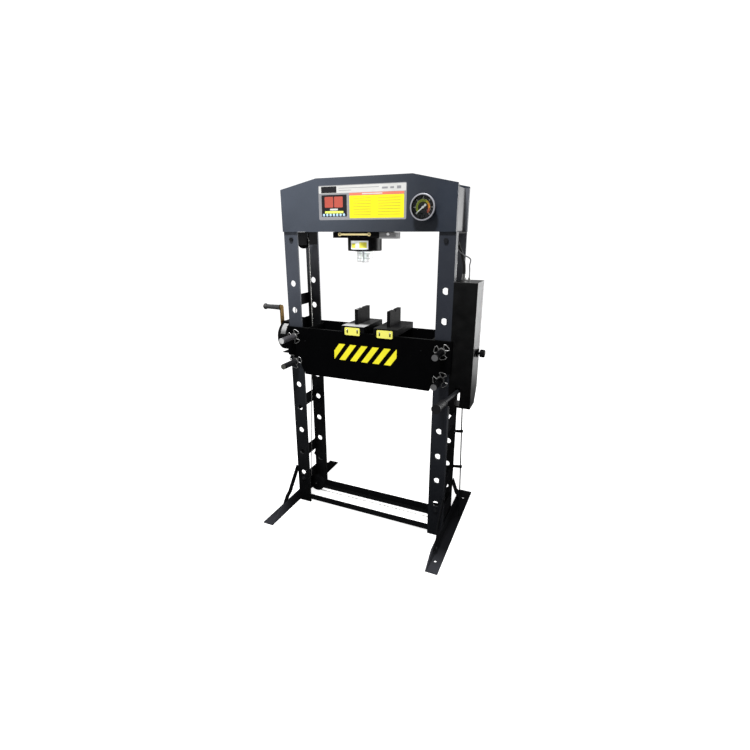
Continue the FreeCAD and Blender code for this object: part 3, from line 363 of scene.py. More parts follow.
bare_steel = steel("bare_steel", (0.42, 0.42, 0.41), 0.32)
blackened_steel = steel("blackened_steel", (0.010, 0.0105, 0.012), 0.45, 0.0, level=0.03)
zinc_crank = steel("zinc_crank", (0.30, 0.185, 0.065), 0.36, 0.9, (1, 1, 0.1))
zinc_bar = steel("zinc_bar", (0.86, 0.72, 0.36), 0.32, 0.6, (0.1, 1, 1))
# Near-white, almost matt zinc for the clamp screw: a painted glint on its head.
zinc_painted_glint = steel("zinc_painted_glint", (0.95, 0.95, 0.95), 0.4, 0.1)
galvanised = steel("galvanised", (0.55, 0.55, 0.54), 0.4, 0.9)
line_steel = steel("line_steel", (0.20, 0.20, 0.21), 0.35, 0.8)
grip_rubber = rubber("grip_rubber", (0.030, 0.030, 0.031), 0.5, level=0.5)
lever_rubber = rubber("lever_rubber", (0.005, 0.005, 0.006), level=0.15)
hose_rubber = rubber("hose_rubber", (0.012, 0.012, 0.013), 0.45, 0.00006)
print("metals and rubbers ready")


# %% Glass
def clear_glass(name):
    """Thin clear glass with smeared roughness. Its other shader values are the same all over, on its own
    sockets.
    """
    material, tree, shader, place = new_finish(name)
    shader.inputs["Transmission Weight"].default_value = 1.0
    shader.inputs["IOR"].default_value = 1.12
    smears = remap(tree, noise(tree, place, 30.0, 3.0), 0.4, 0.8, 0.0, 0.03)
    tree.links.new(smears, shader.inputs["Roughness"])
    shader.inputs["Base Color"].default_value = (0.97, 0.99, 0.98, 1.0)
    return material


gauge_glass = clear_glass("gauge_glass_clear")
print("glass ready")

# %% [markdown]
# ### Pieces with two finishes
# Some solids show two surfaces: a pin has a dark skin and a bright turned end, and its keeper is wire.
# Splitting the solid would change it, so the finish itself chooses by position: a band along an axis, or a
# distance from a centre line, is 0 on one part and 1 on the other.


# %% Bed pins
PIN_END = (-0.30, -0.2396)
KEEPER = (-0.1275, -0.1165)


def band(tree, place, axis, low, high):
    """1 where a coordinate lies between two values."""
    value = axis_value(tree, place, axis)
    above = maths(tree, "GREATER_THAN", value, low)
    return maths(tree, "MULTIPLY", above, maths(tree, "LESS_THAN", value, high))


def pin_finish(name, bare_and_painted_light_tone, skin, level):
    """A bed pin: its skin, a bare end face and a galvanised wire keeper; skin and end carry painted light."""
    material, tree, shader, place = new_finish(name)
    drawn = noise(tree, place, 700.0, 3.0, (1, 0.05, 1))
    clouds = noise(tree, place, 20.0, 5.0)
    skin = blend_colours(tree, clouds, scaled(skin, 0.6), scaled(skin, 1.4))
    end = blend_colours(tree, clouds, scaled(bare_and_painted_light_tone, 0.7), scaled(bare_and_painted_light_tone, 1.3))
    tone = blend_colours(tree, band(tree, place, "Y", *PIN_END), skin, end)
    wire = band(tree, place, "Y", *KEEPER)
    tone = blend_colours(tree, wire, tone, (0.34, 0.34, 0.335))
    tree.links.new(tone, shader.inputs["Base Color"])
    tree.links.new(remap(tree, wire, 0, 1, 0.1, 0.9), shader.inputs["Metallic"])
    tree.links.new(remap(tree, drawn, 0.3, 0.7, 0.32, 0.48), shader.inputs["Roughness"])
    shader.inputs["Specular IOR Level"].default_value = level
    relief(tree, shader, drawn, 0.00002)
    return material


# Three copies of one pin finish with painted light: the lower left pin's is plain, the two right pins' is
# painted shade, and the upper left pin's is lit, with a painted highlight on its end.
bed_pin_steel = pin_finish("bed_pin_steel", (0.068, 0.068, 0.060), (0.014, 0.014, 0.0155), 0.25)
bed_pin_painted_shade = pin_finish("bed_pin_painted_shade", (0.080, 0.080, 0.082), (0.0030, 0.0030, 0.0035), 0.05)
bed_pin_painted_highlight = pin_finish("bed_pin_painted_highlight", (0.45, 0.45, 0.45), (0.060, 0.058, 0.064), 0.25)
print("pin finishes ready")

# %% Gauge case
GAUGE_X, GAUGE_Z = 0.305, 1.679
BEZEL_R = 0.0505
BEZEL_BACK = -0.1497


def gauge_case_finish():
    """A black pressed case with a bright bezel ring."""
    material, tree, shader, place = new_finish("gauge_case_black_and_bright")
    across = maths(tree, "SUBTRACT", axis_value(tree, place, "X"), GAUGE_X)
    up = maths(tree, "SUBTRACT", axis_value(tree, place, "Z"), GAUGE_Z)
    square = maths(tree, "ADD", maths(tree, "MULTIPLY", across, across), maths(tree, "MULTIPLY", up, up))
    outside = maths(tree, "GREATER_THAN", square, BEZEL_R ** 2)
    before = maths(tree, "LESS_THAN", axis_value(tree, place, "Y"), BEZEL_BACK)
    rim = maths(tree, "MULTIPLY", outside, before)
    grain = noise(tree, place, 500.0, 3.0)
    tone = blend_colours(tree, rim, (0.008, 0.008, 0.009), (0.24, 0.24, 0.265))
    tree.links.new(tone, shader.inputs["Base Color"])
    tree.links.new(remap(tree, rim, 0.0, 1.0, 0.0, 0.3), shader.inputs["Metallic"])
    tree.links.new(remap(tree, grain, 0.3, 0.7, 0.46, 0.58), shader.inputs["Roughness"])
    relief(tree, shader, grain, 0.00002)
    return material


gauge_case_bright = gauge_case_finish()
print("gauge case finish ready")

# %% [markdown]
# ## Dressing the solids
# Each solid keeps its shape and only gets a new finish. A dictionary from finish to names is used, because
# it reads like a painter's list, and a check prints any solid that was forgotten.

# %% Put the finishes on the solids
plain_dial = powder_coat("dial_black", (0.008, 0.008, 0.009), 0.5, 0.3)
needle_white = powder_coat("needle_white", (0.80, 0.80, 0.78), 0.35, 0.5)
painters_list = {
    slate_header_painted_shade: ["header_front_plate", "header_rear_plate"],
    slate_left_painted_shade: ["upright_front_left"],
    slate_rear_painted_shade: ["upright_rear_left", "upright_rear_right"],
    slate_right_painted_shade: ["upright_front_right"],
    black_bed: ["bed_front_plate", "bed_rear_plate", "bed_ends"],
    black_frame: ["side_ties", "pulley_brackets", "crossbar_front", "crossbar_rear", "winch_frame",
                  "winch_drum", "pump_body", "release_knob", "pulleys", "side_rod", "braces_left",
                  "braces_right"],
    black_gloss: ["winch_cover", "carriage_block", "cylinder_body"],
    slate_foot_painted_shade: ["foot_left", "foot_right"],
    black_box: ["pump_cover"],
    grey_end: ["header_ends"],
    grey_block: ["carriage_clamp"],
    tag_yellow: ["block_tag_left", "block_tag_right"],
    press_block_worn_and_lit: ["press_block_left"],
    press_block_painted_shade: ["press_block_right"],
    bare_steel: ["hose_fittings", "cylinder_gland", "pump_plunger", "crank_pinion", "pivot_pins"],
    blackened_steel: ["pump_lever", "frame_bolts", "drum_gear"],
    ram_bright: ["ram"],
    zinc_crank: ["crank_arm"],
    zinc_bar: ["carriage_bar"],
    grip_rubber: ["crank_grip"],
    lever_rubber: ["lever_grip"],
    bed_pin_steel: ["bed_pin_lower_left"],
    bed_pin_painted_shade: ["bed_pin_upper_right", "bed_pin_lower_right"],
    bed_pin_painted_highlight: ["bed_pin_upper_left"],
    gauge_case_bright: ["gauge_case"],
    gauge_glass: ["gauge_glass"],
    plain_dial: ["gauge_dial"],
    needle_white: ["gauge_needle"],
}
dressed = set()
for material, names in painters_list.items():
    for name in names:
        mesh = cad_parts[name].data
        mesh.materials.clear()
        mesh.materials.append(material)
        dressed.add(name)
print("not dressed:", sorted(set(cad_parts) - dressed))

# %% [markdown]
# ### Soft edges
# A plate's edge is never a perfect knife: it catches a thin line of light. The solids keep their points, so
# a modifier rounds the sharp edges only when the picture is made. Loose points are welded first and flat
# triangles joined, because a bevel needs whole faces beside it.

# %% Bevel the plates
PLATES = ["header_front_plate", "header_rear_plate", "header_ends", "upright_front_left",
          "upright_front_right", "upright_rear_left", "upright_rear_right", "bed_front_plate",
          "bed_rear_plate", "bed_ends", "press_block_left", "press_block_right", "foot_left", "foot_right",
          "crossbar_front", "crossbar_rear", "pump_cover", "carriage_block", "carriage_clamp", "winch_frame"]
for name in PLATES:
    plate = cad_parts[name]
    weld = plate.modifiers.new("weld", "WELD")
    weld.merge_threshold = 0.000005
    flat = plate.modifiers.new("flat_faces", "DECIMATE")
    flat.decimate_type = "DISSOLVE"
    flat.angle_limit = math.radians(0.5)
    soft = plate.modifiers.new("soft_edge", "BEVEL")
    soft.width = 0.0007
    soft.segments = 2
    soft.limit_method = "ANGLE"
    soft.angle_limit = math.radians(50)
    soft.harden_normals = True
print("edges softened on", len(PLATES), "solids")

# %% [markdown]
# ## The pressure hose and the gauge line
# Both leave the top of the pump box, lean over and go up through a hole under the header. A tube could be
# swept as a mesh, but a curve with a round bevel stays easy to read: a handful of points, and Blender draws
# the smooth line between them. The order is set after the points, or the line would stay straight runs.


# %% Curves with a smooth line
def smooth_line(name, points, thick=0.0):
    """A NURBS curve through control points in metres, with an optional round section."""
    line = bpy.data.curves.new(name, "CURVE")
    line.dimensions = "3D"
    spline = line.splines.new("NURBS")
    spline.points.add(len(points) - 1)
    for point, place in zip(spline.points, points):
        point.co = (*place, 1.0)
    spline.order_u = 3
    spline.use_endpoint_u = True
    line.resolution_u = 12
    line.bevel_depth = thick / 2
    line.bevel_resolution = 5
    line.use_fill_caps = True
    return line


def add_piece(name, data, material, body, slot, *nodes):
    """Put a piece in the scene with its finish, its body and the solids that it stands for."""
    piece = put_in_scene(name, data)
    data.materials.append(material)
    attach(piece, body)
    if nodes:
        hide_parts(*nodes)
    return piece


print("curve helper ready")

# %% Hose and line
HOSE_THICK = 0.015
LINE_THICK = 0.006
hose_points = [
    (0.466, 0.010, 1.390), (0.466, 0.010, 1.428), (0.450, 0.022, 1.474), (0.424, 0.040, 1.518),
    (0.406, 0.050, 1.566), (0.404, 0.042, 1.618), (0.402, 0.004, 1.662), (0.396, -0.044, 1.676),
    (0.378, -0.076, 1.679), (0.350, -0.092, 1.679), (0.321, -0.092, 1.679),
]
line_points = [
    (0.498, -0.020, 1.376), (0.498, -0.020, 1.410), (0.495, -0.020, 1.434), (0.502, -0.020, 1.456),
    (0.488, -0.021, 1.468), (0.458, -0.024, 1.480), (0.430, -0.034, 1.512), (0.406, -0.050, 1.560),
    (0.400, -0.060, 1.610), (0.372, -0.084, 1.650), (0.336, -0.092, 1.668), (0.321, -0.092, 1.668),
]
hose = add_piece("pressure_hose_smooth", smooth_line("pressure_hose_smooth", hose_points, HOSE_THICK),
                 hose_rubber, "frame", "hose_rubber", "pressure_hose")
gauge_line = add_piece("gauge_line_smooth", smooth_line("gauge_line_smooth", line_points, LINE_THICK),
                       line_steel, "frame", "line_grey", "gauge_line")
print("hose and line laid")

# %% [markdown]
# ## Wire ropes
# A wire rope is six strands laid round a core. A twisted pattern on a plain tube would look right from
# afar, but its outline would be smooth. Here each strand is a real tube that winds round the rope's own
# smooth line, which is read from a curve in the same way as the hose's.


# %% A rope's smooth line
def mesh_of(curve):
    """The mesh that Blender draws for a curve or a text."""
    holder = put_in_scene(curve.name, curve)
    mesh = bpy.data.meshes.new_from_object(holder)
    bpy.data.objects.remove(holder)
    return mesh


def centre_points(points, step):
    """Evenly spaced points along a smooth line, as Blender evaluates it."""
    curve = smooth_line("rope_line", points)
    curve.resolution_u = 40
    line = [vertex.co.copy() for vertex in mesh_of(curve).vertices]
    spaced = [line[0]]
    travelled = 0.0
    for start, end in zip(line, line[1:]):
        length = (end - start).length
        while length > 0 and travelled + length >= step:
            start = start.lerp(end, (step - travelled) / length)
            spaced.append(start.copy())
            length = (end - start).length
            travelled = 0.0
        travelled += length
    return spaced + [line[-1]]


print("rope line helper ready")


# %% Strands round the line
STRANDS = 6
STRAND_R = 0.00085
STRAND_REACH = 0.00162
ROPE_LAY = 0.032
STEPS_PER_LAY = 9


def laid_rope(name, points, body, *nodes):
    """A wire rope of six strands and a core as one mesh."""
    step = ROPE_LAY / STEPS_PER_LAY
    line = centre_points(points, step)
    side = Vector((0.0, 1.0, 0.0))
    lines = [[] for _ in range(STRANDS + 1)]
    for k, place in enumerate(line):
        along = (line[min(k + 1, len(line) - 1)] - line[max(k - 1, 0)]).normalized()
        side = (side - along * side.dot(along)).normalized()
        other = along.cross(side)
        lines[STRANDS].append(place)
        for strand in range(STRANDS):
            angle = 2 * math.pi * (k / STEPS_PER_LAY + strand / STRANDS)
            off_centre = side * math.cos(angle) + other * math.sin(angle)
            lines[strand].append(place + off_centre * STRAND_REACH)
    strands = bpy.data.curves.new(name, "CURVE")
    strands.dimensions = "3D"
    strands.bevel_depth = STRAND_R
    strands.bevel_resolution = 0
    strands.use_fill_caps = True
    for places in lines:
        spline = strands.splines.new("POLY")
        spline.points.add(len(places) - 1)
        for point, place in zip(spline.points, places):
            point.co = (*place, 1.0)
    mesh = mesh_of(strands)
    mesh.name = name
    mesh.shade_smooth()
    add_piece(name, mesh, rope_steel, body, "wire_rope", *nodes)
    print(name, len(mesh.polygons), "faces,", round(step * (len(line) - 1), 3), "m")


rope_steel = steel("rope_steel", (0.52, 0.52, 0.50), 0.36, 0.9)
lift_points = [
    (-0.488, 0, 1.018), (-0.4385, 0, 1.497), (-0.4321, 0, 1.559), (-0.368, 0, 1.559), (-0.368, 0, 1.497),
    (-0.368, 0, 1.052),
]
levelling_points = [
    (-0.384, 0, 0.874), (-0.4256, 0, 0.124), (-0.4308, 0, 0.030), (-0.336, 0, 0.030), (0.336, 0, 0.030),
    (0.430, 0, 0.030), (0.430, 0, 0.124), (0.430, 0, 1.497), (0.430, 0, 1.559), (0.368, 0, 1.559),
    (0.368, 0, 1.497), (0.368, 0, 1.052),
]
laid_rope("lift_rope_laid", lift_points, "frame", "lift_rope")
laid_rope("levelling_rope_laid", levelling_points, "frame", "levelling_rope")

# %% [markdown]
# The turns on the drum are the same rope on a helix. A helix is a regular figure, so its control points come
# from a loop: twelve to a turn, a little outside the true radius because the smooth line cuts inside them.

# %% Turns on the drum
DRUM_Y, DRUM_Z = -0.025, 1.018
FIRST_TURN_X = -0.5194
TURN_R = 0.025
TURN_PITCH = 0.00555
TURNS = 4.5
POINTS_PER_TURN = 12
OUTSIDE = 1.017
last = int(TURNS * POINTS_PER_TURN)
winding_points = []
for k in range(last + 1):
    angle = 2 * math.pi * k / POINTS_PER_TURN
    reach = TURN_R * (1.0 if k in (0, last) else OUTSIDE)
    winding_points.append((FIRST_TURN_X + TURN_PITCH * k / POINTS_PER_TURN, DRUM_Y - reach * math.cos(angle),
                           DRUM_Z + reach * math.sin(angle)))
laid_rope("drum_turns_laid", winding_points, "winch_drum", "rope_winding")

# %% [markdown]
# ## Turned pieces
# Sleeves, screw heads and the spring are all round. Revolving a profile with a full spin gives each of them
# from a few points, and merges the last ring with the first.


# %% Revolve a profile
def lathe(mesh, profile, base, along, steps=24):
    """Revolve (radius, height) pairs in millimetres about a line from base, given in millimetres."""
    vertices = [mesh.verts.new((radius / 1000, 0, height / 1000)) for radius, height in profile]
    edges = [mesh.edges.new(pair) for pair in zip(vertices, vertices[1:])]
    before = set(mesh.verts) - set(vertices)
    bmesh.ops.spin(mesh, geom=vertices + edges, cent=(0, 0, 0), axis=(0, 0, 1), angle=2 * math.pi,
                   steps=steps, use_merge=True)
    made = [v for v in mesh.verts if v not in before]
    turn_to = Vector((0, 0, 1)).rotation_difference(Vector(along)).to_matrix().to_4x4()
    bmesh.ops.transform(mesh, matrix=Matrix.Translation(Vector(base) / 1000) @ turn_to, verts=made)


def finish_mesh(mesh, name, smooth_angle=35):
    """Merge doubles, point the faces outwards and hand over a mesh that shades smooth round its curves."""
    bmesh.ops.remove_doubles(mesh, verts=mesh.verts, dist=0.000002)
    bmesh.ops.recalc_face_normals(mesh, faces=mesh.faces)
    data = bpy.data.meshes.new(name)
    mesh.to_mesh(data)
    mesh.free()
    data.shade_smooth()
    data.set_sharp_from_angle(angle=math.radians(smooth_angle))
    return data


print("lathe ready")

# %% Rope sleeves
FERRULE = ((0, 0), (5.2, 0), (6.0, 0.8), (6.0, 4.2), (5.3, 5.0), (5.3, 6.0), (6.0, 6.8), (6.0, 13.2),
           (5.2, 14), (0, 14))
sleeves = bmesh.new()
for x, z in ((-368, 1046), (368, 1046), (-384, 868)):
    lathe(sleeves, FERRULE, (x, 0, z), (0, 0, 1))
add_piece("rope_sleeves", finish_mesh(sleeves, "rope_sleeves"), galvanised, "frame", "wire_rope")
print("rope sleeves pressed on")

# %% [markdown]
# ### The return spring
# The spring sits hidden round the ram. A spin with a step along its axis is a screw, so a small circle spun
# that way makes the whole coil.

# %% Return spring
RAM_X = -0.041
SPRING_LOW, SPRING_HIGH = 1.5212, 1.7248
SPRING_R = 0.046
WIRE_R = 0.0036
COILS = 11
STEPS_PER_COIL = 28
coil = bmesh.new()
section = bmesh.ops.create_circle(coil, segments=10, radius=WIRE_R)["verts"]
start = Matrix.Translation((RAM_X + SPRING_R, 0, SPRING_LOW + WIRE_R))
bmesh.ops.transform(coil, matrix=start @ Matrix.Rotation(math.pi / 2, 4, "X"), verts=section)
rise = (SPRING_HIGH - SPRING_LOW - 2 * WIRE_R) / (COILS * STEPS_PER_COIL)
ends = list({edge for vertex in section for edge in vertex.link_edges})
bmesh.ops.spin(coil, geom=section + ends, cent=(RAM_X, 0, 0), axis=(0, 0, 1), dvec=(0, 0, rise),
               angle=2 * math.pi * COILS, steps=COILS * STEPS_PER_COIL, use_merge=False)
bmesh.ops.holes_fill(coil, edges=[e for e in coil.edges if e.is_boundary], sides=12)
spring = add_piece("return_spring_coil", finish_mesh(coil, "return_spring_coil"), bare_steel, "carriage",
                   "bare_steel", "return_spring")
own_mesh(spring)
print("spring coils", COILS)

# %% [markdown]
# ## Printed fields
# The header's sticker, the stripes on the bed and the labels are thin coloured films, each made of a few plain
# fields. Paint in a node tree would have soft edges, and a picture on a plane would blur close by, so every
# field is its own thin film with round corners.


# %% Films on a front face
FILM_THICK = 0.2


def film(mesh, x0, x1, z0, z1, face_y, corner=0.0, lean=0.0):
    """A thin film on a face that looks to the front, in millimetres. Lean shifts its top sideways."""
    made = bmesh.ops.create_grid(mesh, x_segments=1, y_segments=1, size=0.5)["verts"]
    size = Matrix.Diagonal(((x1 - x0) / 1000, (z1 - z0) / 1000, 1, 1))
    middle = Vector(((x0 + x1) / 2, face_y - FILM_THICK, (z0 + z1) / 2)) / 1000
    stand_up = Matrix.Rotation(math.pi / 2, 4, "X")
    bmesh.ops.transform(mesh, matrix=Matrix.Translation(middle) @ stand_up @ size, verts=made)
    for vertex in made:
        vertex.co.x += lean / 1000 * (vertex.co.z > middle.z)
    faces = list({face for vertex in made for face in vertex.link_faces})
    if corner:
        rounded = bmesh.ops.bevel(mesh, geom=made, offset=corner / 1000, affect="VERTICES", segments=4,
                                  profile=0.5, material=-1, clamp_overlap=True)
        faces = list({face for vertex in rounded["verts"] for face in vertex.link_faces})
    thicken(mesh, faces, Vector((0, FILM_THICK / 1000, 0)))


def thicken(mesh, faces, shift):
    """Give flat faces a back and sides."""
    grown = bmesh.ops.extrude_face_region(mesh, geom=faces, use_keep_orig=True)["geom"]
    bmesh.ops.translate(mesh, vec=shift, verts=[v for v in grown if isinstance(v, bmesh.types.BMVert)])


print("film helper ready")


# %% Inks
def print_ink(name, colour, shade_fades=()):
    """Printed film: one ink, slightly uneven."""
    return powder_coat(name, colour, 0.4, 0.25, peel=0.00001, shade_fades=shade_fades)


INK_COLOURS = {
    "white": (0.47, 0.47, 0.455),
    "red": (0.36, 0.07, 0.05),
    "light_red": (0.60, 0.16, 0.10),
    "yellow": (0.66, 0.60, 0.014),
    "black": (0.012, 0.012, 0.014),
    "grey": (0.21, 0.21, 0.22),
    "ochre": (0.44, 0.36, 0.030),
    "label_yellow": (0.58, 0.53, 0.05),
    "lime": (0.62, 0.70, 0.12),
    "pale_blue": (0.35, 0.50, 0.62),
    "olive": (0.20, 0.25, 0.02),
    "orange": (0.80, 0.28, 0.03),
    # The cylinder label's white is a lighter copy of the white ink: painted light on a label in the header's
    # shade.
    "label_white_painted_light": (0.95, 0.95, 0.96),
}
inks = {name: print_ink("ink_" + name, colour) for name, colour in INK_COLOURS.items()}
# The winch label's white is a darker copy of the white ink that fades darker towards its bottom: painted
# shade.
inks["white_painted_shade"] = print_ink("ink_shaded_white", (0.33, 0.33, 0.33), [("Z", 1.068, 1.050, 0.4)])
print("inks mixed:", len(inks))


# %% The header's sticker
def printed(name, ink, fields, face_y, corner):
    """One colour of a print: many films in one mesh."""
    mesh = bmesh.new()
    for x0, x1, z0, z1 in fields:
        film(mesh, x0, x1, z0, z1, face_y, min(corner, (z1 - z0) * 0.45, (x1 - x0) * 0.45))
    add_piece(name, finish_mesh(mesh, name), inks[ink], "frame", "yellow_paint")


HEADER_FACE = -116.0
line_fields = [(x0, x1, z, z + 2.4) for x0, x1 in ((-45, 45), (80, 190)) for z in range(1653, 1730, 12)]
bar_fields = [(-120, 85, 1771, 1773), (-120, -55, 1761, 1763), (100, 128, 1763, 1771),
              (140, 158, 1763, 1771), (172, 192, 1761, 1773)]
STICKER = (  # part, ink, layer, corner and fields
    ("ground", "grey", 0, 6, [(-230, 218, 1632, 1786)]),
    ("top_strip", "white", 1, 4, [(-227, 215, 1751, 1783)]),
    ("black_panel", "black", 1, 3, [(-214, -79, 1647, 1744)]),
    ("yellow_panel", "yellow", 1, 2, [(-65, 207, 1639, 1738)]),
    ("red_strip", "light_red", 1, 1, [(-65, 207, 1739, 1750)]),
    ("dark_box", "black", 2, 2, [(-214, -132, 1753, 1781)]),
    ("thin_bars", "grey", 2, 1, bar_fields),
    ("red_blocks", "red", 2, 4, [(-197, -151, 1688, 1736), (-146, -100, 1688, 1736)]),
    ("white_bar", "white", 2, 1.5, [(-169, -127, 1675, 1683), (0, 102, 1742, 1747)]),
    ("lime_bar", "lime", 2, 1.5, [(-197, -98, 1662, 1672)]),
    ("faint_lines", "ochre", 2, 0.5, line_fields),
)
for part, ink, layer, corner, fields in STICKER:
    printed("sticker_" + part, ink, fields, HEADER_FACE - FILM_THICK * layer, corner)
dots = bmesh.new()
for k in range(7):
    lathe(dots, ((0, FILM_THICK), (6.0, FILM_THICK), (6.3, 0), (0, 0)),
          (-203 + 18 * k, HEADER_FACE - 2 * FILM_THICK, 1654.5), (0, -1, 0), 20)
add_piece("sticker_pale_dots", finish_mesh(dots, "sticker_pale_dots"), inks["pale_blue"], "frame",
          "yellow_paint")
print("sticker printed")

# %% [markdown]
# ### Slanting stripes on the bed
# Six yellow stripes run over the middle of the bed. Each is a film whose top is shifted sideways, and a
# plane cuts off what passes the ends of the field.

# %% Bed stripes
BED_FACE = -118.0
STRIPE_WIDTH, STRIPE_PITCH = 35.0, 63.4
FIELD_LEFT, FIELD_RIGHT = -0.168, 0.182
stripes = bmesh.new()
for k in range(6):
    left = -203 + STRIPE_PITCH * k
    film(stripes, left, left + STRIPE_WIDTH, 938, 1024, BED_FACE, lean=65)
for limit, outwards in ((FIELD_LEFT, (-1, 0, 0)), (FIELD_RIGHT, (1, 0, 0))):
    bmesh.ops.bisect_plane(stripes, geom=stripes.verts[:] + stripes.edges[:] + stripes.faces[:],
                           plane_co=(limit, 0, 0), plane_no=outwards, clear_outer=True)
    bmesh.ops.holes_fill(stripes, edges=[e for e in stripes.edges if e.is_boundary], sides=8)
add_piece("bed_stripes", finish_mesh(stripes, "bed_stripes"), inks["yellow"], "frame", "yellow_paint")
print("bed stripes printed")

# %% [markdown]
# ## The gauge
# The dial is black with a scale: an arc that goes from green to red, ticks and plain numbers. Arcs come from
# spinning one short edge about the middle of the dial.

# %% Dial arcs
DIAL_FACE = -0.146
PRINT_THICK = 0.00015
dial_middle = Vector((GAUGE_X, DIAL_FACE - 0.0002, GAUGE_Z))


def dial_arc(name, ink, inner, outer, start, end):
    """A coloured arc on the dial, from one angle to another, anticlockwise from the right."""
    mesh = bmesh.new()
    ray = Vector((math.cos(math.radians(start)), 0, math.sin(math.radians(start))))
    pair = [mesh.verts.new(dial_middle + ray * reach / 1000) for reach in (inner, outer)]
    edge = mesh.edges.new(pair)
    bmesh.ops.spin(mesh, geom=pair + [edge], cent=dial_middle, axis=(0, -1, 0),
                   angle=math.radians(end - start), steps=max(4, int(abs(end - start) / 5)), use_merge=False)
    thicken(mesh, mesh.faces[:], Vector((0, PRINT_THICK, 0)))
    add_piece(name, finish_mesh(mesh, name), inks[ink], "frame", "dial_print")


dial_arc("dial_arc_olive", "olive", 23, 30.5, 60, 225)
dial_arc("dial_arc_yellow", "ochre", 23, 30.5, 32, 60)
dial_arc("dial_arc_orange", "orange", 23, 30.5, -8, 32)
dial_arc("dial_arc_red", "red", 23, 30.5, -45, -8)
dial_arc("dial_line_pale", "lime", 31.3, 32.3, 60, 225)
dial_arc("dial_line_orange", "orange", 31.3, 32.3, -45, 60)
print("dial arcs printed")

# %% Dial ticks
ticks = bmesh.new()
TICKS = 30
for k in range(TICKS + 1):
    angle = math.radians(225 - 270 * k / TICKS)
    outer, wide = (36.4, 0.8) if k % 5 == 0 else (34.6, 0.4)
    before = set(ticks.verts)
    film(ticks, 32.6, outer, -wide, wide, 0.0)
    made = [v for v in ticks.verts if v not in before]
    bmesh.ops.transform(ticks, matrix=Matrix.Translation(dial_middle) @ Matrix.Rotation(-angle, 4, "Y"),
                        verts=made)
add_piece("dial_ticks", finish_mesh(ticks, "dial_ticks"), inks["white"], "frame", "dial_print")
print("dial ticks printed:", TICKS + 1)


# %% Dial numbers
def dial_numbers():
    """Plain numbers round the dial, as flat meshes joined into one."""
    mesh = bmesh.new()
    for k in range(7):
        angle = math.radians(225 - 45 * k)
        text = bpy.data.curves.new("dial_number", "FONT")
        text.body = str(10 * k)
        text.size = 0.0075
        text.extrude = 0.00005
        text.align_x = "CENTER"
        text.align_y = "CENTER"
        number = mesh_of(text)
        place = dial_middle + Vector((math.cos(angle), 0, math.sin(angle))) * 0.0405
        number.transform(Matrix.Translation(place) @ Matrix.Rotation(math.pi / 2, 4, "X"))
        mesh.from_mesh(number)
        bpy.data.meshes.remove(number)
    return finish_mesh(mesh, "dial_numbers", 20)


add_piece("dial_numbers", dial_numbers(), inks["white"], "frame", "dial_print")
print("dial numbered")

# %% Needle's balance
TAIL_ANGLE = math.radians(39)
TAIL_REACH = 14
NEEDLE_FACE = -149.5
balance = bmesh.new()
lathe(balance, ((0, 1.4), (4.6, 1.4), (5.4, 0.7), (5.4, 0), (0, 0)),
      (1000 * GAUGE_X + TAIL_REACH * math.cos(TAIL_ANGLE), NEEDLE_FACE,
       1000 * GAUGE_Z + TAIL_REACH * math.sin(TAIL_ANGLE)), (0, -1, 0))
add_piece("needle_balance", finish_mesh(balance, "needle_balance"), needle_white, "needle", "needle_white")
print("needle balanced")

# %% [markdown]
# ## Labels on round faces
# The cylinder and the winch cover each carry a label that follows their curve. It is the dial arc's method
# again: an edge as long as the label is wide, spun about the axis of the round piece.


# %% Curved labels
def curved_label(name, ink, ends, middle, axis, angle, body):
    """A film on a round face: the edge between two ends, spun about an axis, in metres."""
    mesh = bmesh.new()
    pair = [mesh.verts.new(end) for end in ends]
    edge = mesh.edges.new(pair)
    bmesh.ops.spin(mesh, geom=pair + [edge], cent=middle, axis=axis, angle=angle, steps=16, use_merge=False)
    bmesh.ops.recalc_face_normals(mesh, faces=mesh.faces)
    bmesh.ops.solidify(mesh, geom=mesh.faces[:], thickness=PRINT_THICK)
    add_piece(name, finish_mesh(mesh, name), inks[ink], body, "yellow_paint")


def cylinder_label(name, ink, start, end, low, high, reach):
    """A label on the ram's cylinder, between two angles from its front towards its right."""
    first = math.radians(start)
    ray = Vector((math.sin(first), -math.cos(first), 0)) * reach / 1000
    ends = [Vector((RAM_X, 0, z / 1000)) + ray for z in (low, high)]
    curved_label(name, ink, ends, (RAM_X, 0, 0), (0, 0, 1), math.radians(end - start), "carriage")


# The label's white ground is painted light.
cylinder_label("cylinder_label_ground", "label_white_painted_light", -27.8, 36.1, 1497, 1537, 85.2)
cylinder_label("cylinder_label_left", "label_yellow", -24.0, -7.0, 1502, 1524, 85.4)
cylinder_label("cylinder_label_right", "label_yellow", 6.0, 31.0, 1502, 1530, 85.4)
WINCH_LABEL_LOW = math.radians(17)
label_ray = Vector((0, -math.cos(WINCH_LABEL_LOW), math.sin(WINCH_LABEL_LOW))) * 0.0802
label_ends = [Vector((x, DRUM_Y, DRUM_Z)) + label_ray for x in (-0.513, -0.482)]
# The winch label is printed in the white with painted shade.
curved_label("winch_label", "white_painted_shade", label_ends, (0, DRUM_Y, DRUM_Z), (-1, 0, 0), math.radians(48),
             "frame")
print("curved labels on")

# %% [markdown]
# ## Tags and small screws
# The press blocks' tags are plates with round corners and two slots, held by button screws, and two more
# screws sit in the bed. The CAD's tags are plain plates, so these stand for them. An outline filled with
# triangles and drawn out gives the slots at once, where a plain block would need cuts. A turned dome with a
# socket is enough for a screw.

